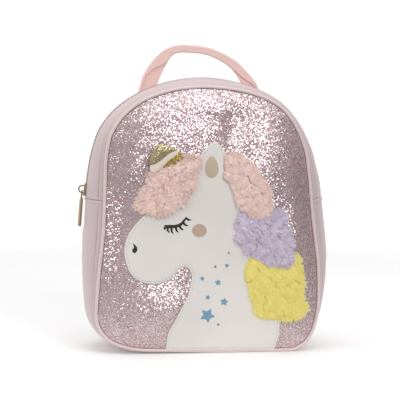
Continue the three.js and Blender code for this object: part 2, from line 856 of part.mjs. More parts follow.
// Lower webbing: from the pad's end, in and out of the adjuster, to the base's corner
const adjusterPlace = 2 * adjusterPitch;
function webbingCurve(side) {
  const pad = strapCurve(side);
  const below = (distance) => pad.getPointAt(1).addScaledVector(pad.getTangentAt(1), distance);
  const straightEnd = below(adjusterPlace + threadReach + adjusterBar);
  const layY = backY + sewnGap + lowerWebThickness / 2;
  const foot = onLoop(0.25, -lowerWebInset);
  return smoothRun([
    below(sewnGap),
    below(adjusterPlace),
    below(adjusterPlace + adjusterPitch + adjusterBar),
    straightEnd,
    ...webbingRows.map((row) => new THREE.Vector3(
      THREE.MathUtils.lerp(straightEnd.x, side * foot.x, row.toFoot),
      layY + row.back * strapStandOff,
      foot.y + row.up * cornerUp,
    )),
  ]);
}
function makeWebbing(side) {
  const curve = webbingCurve(side);
  const length = curve.getLength();
  const threaded = evenly(adjusterPlace - threadReach, adjusterPlace + threadReach, threadSteps);
  const free = evenly(threaded[threadSteps], length, freeSteps).slice(1);
  const shares = [0, ...threaded, ...free].map((distance) => distance / length);
  const reach = (adjusterBar + lowerWebThickness) / 2 + threadSlack;
  return loft(framesAlong(curve, shares, levelWithBack).map((frame) => {
    const away = frame.share * length - adjusterPlace;
    const wave = Math.cos(Math.PI * away / adjusterPitch);
    const lift = Math.abs(away) < threadReach ? reach * wave : 0;
    return ribbonRing(frame, { wide: lowerWebWidth, thick: lowerWebThickness, lift, chamfer: 0 });
  }));
}

// A flat plate of some thickness, centred on its outline's plane
function plate(outline, depth) {
  const geometry = new THREE.ExtrudeGeometry(outline, { depth, bevelEnabled: false, steps: 1 });
  geometry.translate(0, 0, -depth / 2);
  return geometry;
}

// Adjuster: a flat frame with a bar across its middle, threaded on the lower webbing
function makeAdjuster(side) {
  const curve = webbingCurve(side);
  const [frame] = framesAlong(curve, [adjusterPlace / curve.getLength()], levelWithBack);
  const slotHalf = lowerWebWidth / 2 + adjusterGap;
  const halfWidth = slotHalf + adjusterBar;
  const halfLength = adjusterPitch + adjusterBar / 2;
  const rectangle = (shape, x0, y0, x1, y1) => {
    shape.moveTo(x0, y0);
    shape.lineTo(x1, y0);
    shape.lineTo(x1, y1);
    shape.lineTo(x0, y1);
    return shape;
  };
  const outline = rectangle(new THREE.Shape(), -halfWidth, -halfLength, halfWidth, halfLength);
  const inner = adjusterBar / 2;
  const outer = halfLength - adjusterBar;
  outline.holes.push(rectangle(new THREE.Path(), -slotHalf, inner, slotHalf, outer));
  outline.holes.push(rectangle(new THREE.Path(), -slotHalf, -outer, slotHalf, -inner));
  const geometry = plate(outline, adjusterBar);
  const basis = new THREE.Matrix4().makeBasis(frame.side, frame.run, frame.front);
  geometry.applyMatrix4(basis.setPosition(frame.centre));
  return geometry;
}

// Slider: a shell over the coil with a bridge; x is outward, y across the zip, z down along it
const plateFloor = coilHeight + sliderGap;
const plateTop = plateFloor + sliderWall;
function makeSlider() {
  const inside = coilWidth / 2 + 2 * sliderGap;
  const outside = inside + sliderWall;
  const section = new THREE.Shape([
    [sliderGap, inside], [plateFloor, inside], [plateFloor, -inside], [sliderGap, -inside],
    [sliderGap, -outside], [plateTop, sliderEdge - outside],
    [plateTop, outside - sliderEdge], [sliderGap, outside],
  ].map(([x, y]) => new THREE.Vector2(x, y)));
  const arch = new THREE.Shape();
  const root = plateTop - sliderWall / 2;
  const bend = plateTop + bridgeRise;
  const hole = bridgeRadius - bridgeWire;
  arch.moveTo(root, -bridgeRadius);
  arch.lineTo(bend, -bridgeRadius);
  arch.absarc(bend, 0, bridgeRadius, -Math.PI / 2, Math.PI / 2, false);
  arch.lineTo(root, bridgeRadius);
  arch.lineTo(root, hole);
  arch.lineTo(bend, hole);
  arch.absarc(bend, 0, hole, Math.PI / 2, -Math.PI / 2, true);
  arch.lineTo(root, -hole);
  const bridge = plate(arch, bridgeWidth);
  bridge.rotateX(Math.PI / 2);
  return toGeometry(toSolid(plate(section, sliderLength)).add(toSolid(bridge)));
}

// Pull: a pin through the bridge, an eye round it and a bar that hangs a little turned
const downZip = new THREE.Vector3(0, 0, 1);
const eyeInside = bridgeRadius * 2 - bridgeWire - pinDiameter / 2 - pinGap + eyeGap;
function makePull() {
  const pin = pinDiameter / 2;
  const armInside = bridgeWidth / 2 + eyeGap;
  const armOutside = armInside + eyeArm;
  const eye = new THREE.Shape([
    [-armOutside, -pin], [armOutside, -pin],
    [armOutside, eyeInside + eyeArm], [-armOutside, eyeInside + eyeArm],
  ].map(([y, z]) => new THREE.Vector2(y, z)));
  eye.holes.push(new THREE.Path([
    [-armInside, pin], [-armInside, eyeInside], [armInside, eyeInside], [armInside, pin],
  ].map(([y, z]) => new THREE.Vector2(y, z))));
  const frame = plate(eye, pinDiameter);
  frame.applyMatrix4(new THREE.Matrix4().makeBasis(backward, downZip, acrossBag));
  const barStart = eyeInside + eyeArm / 2;
  const rings = barRows.map(({ along, full, turned }) => ribbonRing({
    centre: new THREE.Vector3(0, 0, barStart + along * barLength),
    side: backward,
    front: acrossBag,
  }, {
    wide: barWidth * full,
    thick: barThickness * full,
    turn: barTurn * turned,
  }));
  return toGeometry(toSolid(frame).add(toSolid(loft(rings))));
}

const material = (colour, roughness, metalness) => new THREE.MeshStandardMaterial({
  color: new THREE.Color(colour),
  roughness,
  metalness,
});
const pinkLeather = () => material('#cbb8b9', 0.5, 0);
const backpack = new THREE.Group();
function addPiece(name, geometry, look) {
  const mesh = new THREE.Mesh(geometry, look);
  mesh.name = name;
  backpack.add(mesh);
  return mesh;
}

addPiece('front_panel', makeFrontPanel(), material('#c2b6be', 0.45, 0.1));
addPiece('gusset_lower', makeLowerGusset(), pinkLeather());
const besideTape = tapeWidth / 2 + sewnGap;
addPiece('gusset_upper_front', makeUpperStrip(gussetFront, zipY - besideTape), pinkLeather());
addPiece('gusset_upper_back', makeUpperStrip(zipY + besideTape, gussetBack), pinkLeather());
addPiece('zipper', makeZipper(), material('#c9adae', 0.6, 0));
addPiece('piping_front', makePiping(frontY - pipingProud + pipingRadius), pinkLeather());
addPiece('piping_back', makePiping(backY - pipingRadius), pinkLeather());
addPiece('back_panel', makeBackPanel(), pinkLeather());
addPiece('unicorn_head', makeHead(), material('#dfdedd', 0.55, 0));
addPiece('horn', makeHorn(), material('#b9a66e', 0.4, 0.4));
const fur = (colour) => material(colour, 0.9, 0);
const { forelock, upperMane, middleMane, lowerMane } = outlines;
addPiece('forelock_fur', makeFur(forelock, [outlines.horn], { lean: -38, fan: 30 }), fur('#d4b5ac'));
addPiece('mane_upper_fur', makeFur(upperMane, [], { lean: 12, fan: 30 }), fur('#d6b9b0'));
addPiece('mane_middle_fur', makeFur(middleMane, [upperMane], { lean: 8, fan: 30 }), fur('#bbadbd'));
addPiece('mane_lower_fur', makeFur(lowerMane, [middleMane], { lean: 4, fan: 30 }), fur('#d8c76f'));
const webbing = () => material('#e3c7bd', 0.7, 0);
addPiece('handle', makeHandle(), webbing());
for (const [name, side] of [['right', 1], ['left', -1]]) {
  addPiece(`shoulder_strap_${name}`, makeStrap(side), pinkLeather());
  addPiece(`strap_webbing_${name}`, makeWebbing(side), webbing());
  addPiece(`strap_adjuster_${name}`, makeAdjuster(side), material('#d3b4b2', 0.4, 0));
}

// The slider rides on the left side just above the zip's end, along the tape under its two
// ends and clear of what lies between them, and the pull hangs from its bridge
const tapePoint = (place) => onLoop(place, tapeOffset(place));
const sliderPlace = 2 - alongAtHeight(seamBottom + zipEndHeight + sliderAboveEnd + sliderLength / 2);
const sliderReach = sliderLength / 2 / seamCurve.getLength();
const sliderTop = tapePoint(sliderPlace - sliderReach);
const sliderBottom = tapePoint(sliderPlace + sliderReach);
const downTape = sliderBottom.clone().sub(sliderTop).normalize();
const outward = new THREE.Vector2(downTape.y, -downTape.x);
const heights = evenly(sliderPlace - sliderReach, sliderPlace + sliderReach, sliderSteps)
  .map((place) => tapePoint(place).sub(sliderTop).dot(outward));
const onTape = sliderTop.clone().add(sliderBottom).divideScalar(2)
  .addScaledVector(outward, Math.max(...heights));
const zipHardware = new THREE.Group();
zipHardware.position.set(onTape.x, zipY, onTape.y);
zipHardware.rotation.y = -Math.atan2(outward.y, outward.x);
backpack.add(zipHardware);
const brass = () => material('#b59f84', 0.3, 0.9);
zipHardware.add(addPiece('zip_slider', makeSlider(), brass()));
const pull = addPiece('zip_pull', makePull(), brass());
pull.position.set(plateTop + bridgeRise, 0, bridgeRadius - bridgeWire - pinDiameter / 2 - pinGap);
pull.rotation.y = -toRadians(pullLean);
zipHardware.add(pull);

export default backpack;
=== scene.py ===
# %% [markdown]
# # A small child's backpack with a unicorn on its front
# The bag's plain solids come in as a fixed frame that says where each piece lies. On the real
# bag every piece is cut from a sheet, a cord or a webbing and sewn to the next, so each is made
# here once more as thin leather, cloth or fur, in the place of the solid that it stands for.

# %% Load the frame
import math
import bpy
import numpy as np
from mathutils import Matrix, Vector


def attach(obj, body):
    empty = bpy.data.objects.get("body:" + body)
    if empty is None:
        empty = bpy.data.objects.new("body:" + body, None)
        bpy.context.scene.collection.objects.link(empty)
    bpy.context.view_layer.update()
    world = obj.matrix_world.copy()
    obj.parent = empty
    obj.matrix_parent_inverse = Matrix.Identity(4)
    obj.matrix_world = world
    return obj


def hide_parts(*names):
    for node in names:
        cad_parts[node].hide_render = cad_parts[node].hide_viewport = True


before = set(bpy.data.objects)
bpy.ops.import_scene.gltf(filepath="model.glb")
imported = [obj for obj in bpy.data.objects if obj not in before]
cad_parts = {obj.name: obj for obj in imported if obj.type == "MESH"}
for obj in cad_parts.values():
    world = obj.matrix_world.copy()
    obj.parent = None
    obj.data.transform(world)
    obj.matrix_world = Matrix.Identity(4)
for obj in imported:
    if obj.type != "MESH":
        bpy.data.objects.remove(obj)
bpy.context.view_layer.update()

# %% [markdown]
# ## Camera and light
# The bag is seen from the front, a little from its right-hand side and a little from above,
# through a long lens that keeps its sides nearly parallel. One large softbox stands to the
# right above the camera, a weaker one on the left and one overhead, over a plain pale floor.
# The camera could be placed by eye, but angles can be read and changed.

# %% Camera
view_turn = math.radians(-6.5)
view_rise = math.radians(4)
view_distance = 1.5
look_at = Vector((-0.0029, 0, 0.1447))
bpy.ops.object.camera_add()
camera = bpy.context.active_object
camera.location = look_at + view_distance * Vector((
    math.sin(view_turn) * math.cos(view_rise),
    -math.cos(view_turn) * math.cos(view_rise),
    math.sin(view_rise)))
camera.rotation_euler = (look_at - camera.location).to_track_quat("-Z", "Y").to_euler()
camera.data.sensor_width = 36
camera.data.lens = 136.4
bpy.context.scene.camera = camera
print("camera at", [round(value, 3) for value in camera.location])


# %% Lights and floor
lights = [  # turn from the camera's side, rise, distance, size, power
    (23, 29, 1.9, 0.8, 13.5),
    (-75, 22, 1.9, 0.9, 6.0),
    (0, 80, 1.9, 1.5, 10.5),
]
for turn, rise, distance, size, power in lights:
    turn, rise = math.radians(turn), math.radians(rise)
    place = look_at + distance * Vector((
        math.sin(turn) * math.cos(rise), -math.cos(turn) * math.cos(rise), math.sin(rise)))
    bpy.ops.object.light_add(type="AREA", location=place)
    softbox = bpy.context.active_object
    softbox.data.size = size
    softbox.data.energy = power
    softbox.rotation_euler = (look_at - place).to_track_quat("-Z", "Y").to_euler()
bpy.context.scene.view_settings.view_transform = "Standard"
bpy.ops.mesh.primitive_plane_add(size=30)
floor = bpy.context.active_object
floor.name = "floor"
print("lights:", len(lights))

# %% [markdown]
# ## How finishes are written
# A finish is a tree of nodes. Drawing it by hand is clear but slow to repeat, so a finish is
# written as sums here: a Signal is one socket, + - * on it add Math nodes, and any other
# node comes from one method that takes its type, its settings and what goes into it.

# %% Signals and finishes
class Signal:
    def __init__(self, finish, socket):
        self.finish = finish
        self.socket = socket

    def math(self, operation, *values):
        inputs = dict(enumerate(values))
        return self.finish.node("ShaderNodeMath", {"operation": operation}, inputs)

    def __add__(self, other): return self.math("ADD", self, other)
    def __radd__(self, other): return self.math("ADD", other, self)
    def __sub__(self, other): return self.math("SUBTRACT", self, other)
    def __rsub__(self, other): return self.math("SUBTRACT", other, self)
    def __mul__(self, other): return self.math("MULTIPLY", self, other)
    def __rmul__(self, other): return self.math("MULTIPLY", other, self)


class Tree:
    def __init__(self, owner):
        owner.use_nodes = True
        self.tree = owner.node_tree

    def node(self, kind, settings=None, inputs=None, output=0):
        made = self.tree.nodes.new(kind)
        for setting, value in (settings or {}).items():
            setattr(made, setting, value)
        for socket, value in (inputs or {}).items():
            self.join(made.inputs[socket], value)
        return Signal(self, made.outputs[output])

    def join(self, socket, value):
        if isinstance(value, Signal):
            self.tree.links.new(value.socket, socket)
        else:
            socket.default_value = value


class Finish(Tree):
    def __init__(self, name, **constants):
        self.material = bpy.data.materials.new(name)
        super().__init__(self.material)
        self.shader = self.tree.nodes["Principled BSDF"]
        for socket, value in constants.items():
            self.shader.inputs[socket.replace("_", " ")].default_value = value

    def feed(self, socket, value):
        self.join(self.shader.inputs[socket], value)

    def place(self):
        return self.node("ShaderNodeTexCoord", output="Object")

    def seam_map(self):
        return self.node("ShaderNodeUVMap", {"uv_map": "along"})

    def noise(self, where, scale, detail=3):
        return self.node("ShaderNodeTexNoise", {}, {
            "Vector": where, "Scale": scale, "Detail": detail})

    def cells(self, where, scale, output="Distance"):
        return self.node("ShaderNodeTexVoronoi", {}, {"Vector": where, "Scale": scale}, output)

    def blend(self, share, first, second):
        return self.node("ShaderNodeMix", {"data_type": "RGBA"}, {
            0: share, 6: first, 7: second}, 2)

    def bump(self, height, strength, distance=0.001):
        return self.node("ShaderNodeBump", {}, {
            "Height": height, "Strength": strength, "Distance": distance})


def colour(red, green, blue):
    def level(value):
        share = value / 255
        return share / 12.92 if share < 0.04045 else ((share + 0.055) / 1.055) ** 2.4
    return (level(red), level(green), level(blue), 1)


print("a mid pink in linear light:", [round(c, 3) for c in colour(212, 192, 193)[:3]])

# %% The room
# A white wall stands behind the bag. The room in front of it is dimmer, most of all to the
# right, so that the glitter has something darker to mirror beside the softboxes.
world = bpy.data.worlds.new("studio")
bpy.context.scene.world = world
room = Tree(world)
direction = room.node("ShaderNodeTexCoord", output="Generated")
east, north, above = (room.node("ShaderNodeSeparateXYZ", {}, {0: direction}, i) for i in range(3))
behind = room.node("ShaderNodeMapRange", {"interpolation_type": "SMOOTHSTEP"}, {
    "Value": north, "From Min": -0.2, "From Max": 0.75})
wall, dim, falling_off = 1.03, 0.43, 0.2
background = world.node_tree.nodes["Background"]
room.join(background.inputs["Strength"],
          dim + falling_off * (above - east) * (1 - behind) + (wall - dim) * behind)
background.inputs["Color"].default_value = (1, 1, 1, 1)
print("room brightness from", dim, "to", wall)


# %% [markdown]
# ### Leather, glitter and fur
# The pink sides are smooth imitation leather: an even colour with a fine pebble grain and a
# satin shine. A photograph of leather could be wrapped round it, but cells and noise at the
# true scale stay sharp and have no seam. The glitter is thousands of flakes under a clear
# film, so each cell of a pattern gets its own brightness and its own tilt.

# %% Leather finishes
def leather(name, shade, grain=900, bump=0.12):
    finish = Finish(name, Roughness=0.42, Coat_Weight=0.12, Coat_Roughness=0.35)
    where = finish.place()
    pebbles = finish.cells(where, grain)
    cloudy = finish.noise(where, 18, 2)
    light = [min(1, c * 1.05) for c in shade[:3]] + [1]
    dark = [c * 0.9 for c in shade[:3]] + [1]
    finish.feed("Base Color", finish.blend(cloudy, dark, light))
    finish.feed("Roughness", 0.36 + 0.16 * cloudy + 0.08 * pebbles)
    finish.feed("Normal", finish.bump(pebbles + 0.5 * finish.noise(where, 260), bump, 0.0006))
    return finish.material


pink_leather = leather("pink leather", colour(202, 182, 183))
# The piping is the pink leather made lighter: a painted highlight on the round cord.
highlit_pink_piping = leather("highlit pink piping", colour(224, 202, 203), 1100, 0.08)
cream_leather = leather("cream leather", colour(229, 224, 219), 1400, 0.05)
lip_leather = leather("lip leather", colour(240, 228, 212), 1400, 0.05)
print("leathers:", pink_leather.name, highlit_pink_piping.name, cream_leather.name, lip_leather.name)

# %% Glitter finishes
film_shine, least_tilt, flake_tilt = 0.25, 0.1, 0.54


def glitter(name, ground, pale_ground, flake, dull_flake, grain, share):
    finish = Finish(name)
    where = finish.place()
    flakes = finish.cells(where, grain, "Color")
    pick, tilt = (finish.node("ShaderNodeSeparateColor", {}, {0: flakes}, i) for i in (0, 1))
    is_flake = pick.math("GREATER_THAN", pick, 1 - share)
    under = finish.blend(finish.noise(where, 30), ground, pale_ground)
    metal = finish.blend(tilt, dull_flake, flake)
    finish.feed("Base Color", finish.blend(is_flake, under, metal))
    finish.feed("Metallic", film_shine + (1 - film_shine) * is_flake)
    finish.feed("Roughness", 0.5 - 0.26 * is_flake)
    lean = finish.node("ShaderNodeVectorMath", {"operation": "SUBTRACT"}, {
        0: flakes, 1: (0.5, 0.5, 0.5)})
    more = least_tilt + flake_tilt * is_flake
    turned = finish.node("ShaderNodeVectorMath", {"operation": "SCALE"}, {0: lean, "Scale": more})
    leant = finish.node("ShaderNodeVectorMath", {"operation": "ADD"}, {
        0: finish.node("ShaderNodeNewGeometry", output="Normal"), 1: turned})
    finish.feed("Normal", finish.node("ShaderNodeVectorMath", {"operation": "NORMALIZE"}, {
        0: leant}))
    return finish.material


silver_pink_glitter = glitter("silver pink glitter", colour(176, 140, 145), colour(192, 158, 164),
                              colour(248, 240, 241), colour(186, 166, 170), 1450, 0.55)
gold_glitter = glitter("gold glitter", colour(150, 136, 100), colour(176, 160, 120),
                       colour(236, 224, 190), colour(160, 146, 106), 1900, 0.36)
# A darker, deeper copy of the gold glitter for the horn's root, which lies under the folded flap:
# painted shade.
shaded_gold_glitter = glitter("shaded gold glitter", colour(150, 118, 46), colour(176, 142, 62),
                            colour(232, 200, 120), colour(150, 122, 60), 1700, 0.34)
print("glitters:", silver_pink_glitter.name, gold_glitter.name, shaded_gold_glitter.name)

# %% Fur finish
def fur_finish(name, root, tip, faded):
    # The faint emission in the hair's own colour is a painted glow, standing in for light that
    # passes through the hairs.
    finish = Finish(name, Roughness=0.9, Sheen_Weight=0.25, Sheen_Roughness=0.5,
                    Emission_Strength=0.05)
    # The tone runs from the darker root colour, painted shade deep in the pile, to the lighter tip
    # colour, painted light on the tips, with random tone between hairs.
    tone = finish.node("ShaderNodeAttribute", {"attribute_name": "tone"}, {}, "Fac")
    fade = finish.node("ShaderNodeAttribute", {"attribute_name": "fade"}, {}, "Fac")
    root_shade_to_tip = finish.blend(tone, root, tip)
    shade = finish.blend(fade, root_shade_to_tip, faded)
    finish.feed("Base Color", shade)
    finish.feed("Emission Color", shade)
    return finish.material


# Each fur gives a darker root colour (painted shade in the pile), a lighter tip colour (painted
# light) and a paler colour for its edges.
peach_fur = fur_finish("peach fur", colour(226, 192, 182), colour(252, 232, 224),
                       colour(236, 222, 208))
lilac_fur = fur_finish("lilac fur", colour(192, 176, 198), colour(232, 222, 236),
                       colour(226, 218, 222))
yellow_fur = fur_finish("yellow fur", colour(232, 214, 112), colour(250, 240, 150),
                        colour(240, 232, 180))
print("furs:", peach_fur.name, lilac_fur.name, yellow_fur.name)

# %% [markdown]
# ### Webbing, thread, print and metal
# Webbing and zip tape are woven, so their pattern runs along the band and comes from a map
# that is laid along it in metres. Ribs and a zigzag of the weft are two waves on that map.

# %% Woven finishes
def woven(name, shade, rib, pick, bump=0.5, satin=0.4):
    finish = Finish(name, Roughness=0.6, Sheen_Weight=0.2, Sheen_Roughness=0.4)
    band, across = (finish.node("ShaderNodeSeparateXYZ", {}, {0: finish.seam_map()}, i)
                    for i in (0, 1))
    ribs = across.math("SINE", across * (2 * math.pi / rib))
    picks = band.math("SINE", band * (2 * math.pi / pick) + ribs)
    weave = 0.5 + 0.25 * ribs + 0.25 * picks
    dark = [c * 0.86 for c in shade[:3]] + [1]
    finish.feed("Base Color", finish.blend(weave, dark, shade))
    finish.feed("Roughness", satin + 0.2 * weave)
    finish.feed("Normal", finish.bump(weave, bump, 0.0004))
    return finish.material


peach_webbing = woven("peach webbing", colour(242, 206, 199), 0.0012, 0.0009, 0.25)
zip_tape = woven("zip tape", colour(212, 184, 186), 0.0011, 0.0009, 0.35)
print("woven:", peach_webbing.name, zip_tape.name)


# %% Plain finishes: thread, coil, print, plastic and metal
def plain(name, shade, roughness, metal=0.0, scale=400, bump=0.05, vary=0.1):
    finish = Finish(name, Metallic=metal)
    where = finish.place()
    speckle = finish.noise(where, scale, 3)
    dark = [c * (1 - vary) for c in shade[:3]] + [1]
    finish.feed("Base Color", finish.blend(speckle, dark, shade))
    finish.feed("Roughness", roughness + 0.12 * speckle)
    finish.feed("Normal", finish.bump(speckle, bump, 0.0004))
    return finish.material


def faded_print(name, low_shade, high_shade, low, high):
    finish = Finish(name, Roughness=0.5)
    height = finish.node("ShaderNodeSeparateXYZ", {}, {0: finish.place()}, 2)
    share = finish.node("ShaderNodeMapRange", {}, {
        "Value": height, "From Min": low, "From Max": high})
    finish.feed("Base Color", finish.blend(share, low_shade, high_shade))
    return finish.material


pink_thread = plain("pink thread", colour(200, 176, 178), 0.6, 0, 3000, 0.2)
cream_thread = plain("cream thread", colour(208, 203, 196), 0.6, 0, 3000, 0.2)
nylon_coil = plain("nylon coil", colour(200, 174, 176), 0.35, 0, 1500, 0.05)
light_gold = plain("light gold", colour(194, 170, 138), 0.12, 1, 300, 0.03, 0.12)
pink_plastic = plain("pink plastic", colour(204, 172, 172), 0.35, 0, 700, 0.05)
ear_inner = faded_print("ear print", colour(184, 174, 148), colour(206, 184, 164), 0.17, 0.192)
beige_print = plain("beige print", colour(194, 170, 150), 0.5, 0, 500, 0.03)
dark_print = plain("dark print", colour(44, 40, 36), 0.45, 0, 500, 0.03)
blue_print = plain("blue print", colour(122, 162, 192), 0.4, 0, 900, 0.05, 0.2)
grey_print = plain("grey print", colour(142, 134, 132), 0.5, 0, 500, 0.03)


def fading_floor(name, near, far):
    finish = Finish(name, Roughness=0.8, Emission_Strength=0.1)
    where = finish.place()
    from_middle = finish.node("ShaderNodeVectorMath", {"operation": "SUBTRACT"}, {
        0: where, 1: (0, 0.4, 0)})
    reach = finish.node("ShaderNodeVectorMath", {"operation": "LENGTH"}, {0: from_middle}, 1)
    fade = finish.node("ShaderNodeMapRange", {"interpolation_type": "SMOOTHSTEP"}, {
        "Value": reach, "From Min": near, "From Max": far, "To Min": 1, "To Max": 0})
    finish.feed("Base Color", finish.blend(finish.noise(where, 3), (0.84, 0.84, 0.84, 1),
                                           (0.88, 0.88, 0.88, 1)))
    finish.feed("Emission Color", (1, 1, 1, 1))
    finish.feed("Alpha", fade)
    return finish.material


floor.data.materials.append(fading_floor("studio floor", 0.42, 0.72))
print("plain finishes:", len(bpy.data.materials))

# %% [markdown]
# ## The bag's outline and its swell
# Everything follows one line, the seam round the front. Its right half is a straight stretch
# and three smooth bends, and the left half mirrors it. A place on it is 0 at the middle of the
# base, 1 at the crest and 2 at the base again, so a band can be told where it starts and ends.

# %% Named sizes in metres
seam_width, seam_height = 0.210, 0.250
corner_across, corner_up = 0.046, 0.038
shoulder_width, shoulder_height = 0.191, 0.176
arch_slope, arch_flat, side_lean = 0.058, 0.050, 0.002
piping_radius, piping_proud, sewn_gap = 0.0017, 0.0011, 0.0003
side_bulge, swell_fullness = 0.0155, 2.4
front_wall, gusset_wall, back_wall, backing_wall = 0.0018, 0.0015, 0.0012, 0.0012
crown_height, crown_reach = 0.010, 0.060
zip_end_height, zip_behind_front, tape_width = 0.1435, 0.043, 0.014
front_y, back_y = -0.0475, 0.0475
seam_half = seam_width / 2
piping_reach = sewn_gap + 2 * piping_radius
seam_bottom = piping_reach
gusset_front = front_y - piping_proud + 2 * piping_radius + sewn_gap
gusset_back = back_y - 2 * piping_radius - sewn_gap
zip_y = front_y + zip_behind_front


# %% The seam line
def unit(rows):
    return rows / np.linalg.norm(rows, axis=-1, keepdims=True)


def length_along(line):
    steps = np.linalg.norm(np.diff(line, axis=0), axis=1)
    return np.concatenate([[0], np.cumsum(steps)])


def read_columns(at, key, rows):
    return [np.interp(at, key, rows[:, i]) for i in range(rows.shape[1])]


def bend(start, first, second, end, count=240):
    t = np.linspace(0, 1, count)[:, None]
    start, first, second, end = map(np.array, (start, first, second, end))
    return (start * (1 - t) ** 3 + 3 * first * t * (1 - t) ** 2
            + 3 * second * t ** 2 * (1 - t) + end * t ** 3)


corner_start = seam_half - corner_across
side_start = seam_bottom + corner_up
shoulder = shoulder_width / 2
side_run = (shoulder_height - corner_up) / 3
seam_points = np.concatenate([
    np.linspace((0, seam_bottom), (corner_start, seam_bottom), 60)[:-1],
    bend((corner_start, seam_bottom), (seam_half - 0.45 * corner_across, seam_bottom),
         (seam_half, seam_bottom + 0.45 * corner_up), (seam_half, side_start))[:-1],
    bend((seam_half, side_start), (seam_half, side_start + side_run),
         (shoulder + side_lean, seam_bottom + shoulder_height - side_run),
         (shoulder, seam_bottom + shoulder_height))[:-1],
    bend((shoulder, seam_bottom + shoulder_height),
         (shoulder - side_lean, seam_bottom + shoulder_height + arch_slope),
         (arch_flat, seam_bottom + seam_height), (0, seam_bottom + seam_height)),
])
seam_length = length_along(seam_points)[-1]
seam_share = length_along(seam_points) / seam_length
seam_runs = np.gradient(seam_points, seam_share * seam_length, axis=0)


def on_pattern(place, offset=0.0):
    place = np.asarray(place, float)
    left = (place > 1) | (place < 0)
    along = np.where(place > 1, 2 - place, np.abs(place))
    x, z = read_columns(along, seam_share, seam_points)
    run_x, run_z = read_columns(along, seam_share, seam_runs)
    size = np.hypot(run_x, run_z)
    x, z = x + run_z / size * offset, z - run_x / size * offset
    return np.where(left, -x, x), z


# How far out from the even pattern the sewn bag stands, in mm, with the place on the seam
slump_rows = np.array([
    (0, 0), (0.149, 1.5), (0.184, 3.5), (0.21, 5), (0.23, 4.8), (0.249, 3.2), (0.271, 1),
    (0.295, -0.5), (0.333, 0.6), (0.38, 1.6), (0.43, 1.8), (0.48, 1), (0.53, 0.35),
    (0.62, 0.3), (0.66, -0.8), (0.694, -1.5), (0.717, -2.4), (0.75, -2.7), (0.78, -2.2),
    (0.814, -1.2), (0.866, -1), (0.9, -0.9), (0.95, -0.4), (1, 0.3), (1.07, 0.4),
    (1.12, 0.1), (1.19, 0.45), (1.238, 1.2), (1.272, 1.8), (1.3, 1.2), (1.349, 1),
    (1.408, 0.2), (1.45, -0.8), (1.491, -1.6), (1.539, -1.4), (1.576, -0.7), (1.635, -0.1),
    (1.683, 0.9), (1.719, 2), (1.752, 2), (1.771, 0.9), (1.796, -0.9), (1.834, -2.2),
    (1.883, -1.7), (1.979, -0.4), (2, 0),
])


def on_loop(place, offset=0.0):
    slump = np.interp(np.mod(place, 2), slump_rows[:, 0], slump_rows[:, 1]) / 1000
    x, z = on_pattern(place, slump)
    out_x, out_z = on_pattern(place, slump + offset)
    return out_x, out_z + np.maximum(seam_bottom - z, 0)


print("half of the seam in mm:", round(1000 * seam_length, 1))


# %% The swell of the sides
bulge_rows = np.array([  # place on the seam, share of the full swell
    (0, 0), (0.17, 0), (0.25, 0.22), (0.34, 0.62), (0.44, 0.93), (0.53, 1), (0.62, 0.92),
    (0.72, 0.58), (0.84, 0.36), (1, 0.48),
])


def read_table(rows, at):
    key, level = rows[:, 0], rows[:, 1]
    step = np.diff(level) / np.diff(key)
    turns = np.concatenate([[True], step[:-1] * step[1:] <= 0, [True]])
    middle = (level[2:] - level[:-2]) / (key[2:] - key[:-2])
    slope = np.where(turns, 0, np.concatenate([[0], middle, [0]]))
    row = np.clip(np.searchsorted(key, at) - 1, 0, len(key) - 2)
    run = key[row + 1] - key[row]
    t = (at - key[row]) / run
    ease = t * t * (3 - 2 * t)
    return (level[row] * (1 - ease) + level[row + 1] * ease
            + t * (1 - t) ** 2 * run * slope[row] + t * t * (t - 1) * run * slope[row + 1])


def gusset_offset(place, y):
    along = np.where(np.asarray(place) > 1, 2 - np.asarray(place), np.abs(place))
    share = (y - gusset_front) / (gusset_back - gusset_front)
    swell = 1 - np.abs(2 * share - 1) ** swell_fullness
    return piping_reach + side_bulge * read_table(bulge_rows, along) * swell


def place_at_height(height):
    rising = seam_points[:, 1] > seam_bottom + corner_up
    return float(np.interp(height, seam_points[rising, 1], seam_share[rising]))


zip_end = place_at_height(seam_bottom + zip_end_height)
print("the zip ends at place", round(zip_end, 3))


# %% The relief of the front
fold_rows = [  # across, up, turn in degrees, length, width, height
    (-0.72, 0.13, 22, 0.34, 0.06, 0.28), (-0.48, 0.05, 32, 0.26, 0.05, 0.22),
    (0.27, 0.84, 86, 0.3, 0.09, -0.3), (0.52, 0.62, 60, 0.3, 0.09, 0.15),
    (-0.9, 0.55, 88, 0.36, 0.09, -0.3), (0.8, 0.38, 92, 0.42, 0.055, 0.46),
    (-0.36, 0.17, 4, 0.22, 0.07, 0.3), (-0.86, 0.4, 70, 0.3, 0.07, -0.2),
    (0.22, 0.98, -4, 0.22, 0.06, 0.26),
]
crease_rows = [  # across, up, turn in degrees, length, width, height
    (-0.8, 0.2, 28, 0.24, 0.026, 0.15), (-0.6, 0.11, 24, 0.3, 0.024, 0.16),
    (-0.6, 0.03, 35, 0.14, 0.015, 0.1), (-0.35, 0.9, 12, 0.22, 0.025, 0.08),
    (0.02, 0.93, -8, 0.2, 0.022, 0.08), (0.42, 0.78, 80, 0.2, 0.025, -0.09),
    (0.75, 0.08, -30, 0.2, 0.018, 0.07), (-0.8, 0.66, 50, 0.24, 0.035, 0.14),
    (-0.55, 0.86, 40, 0.2, 0.03, 0.1), (0.2, 0.84, 84, 0.2, 0.03, -0.12),
]
seam_outline = np.stack(on_loop(np.linspace(0, 2, 321)[:-1]), axis=1)


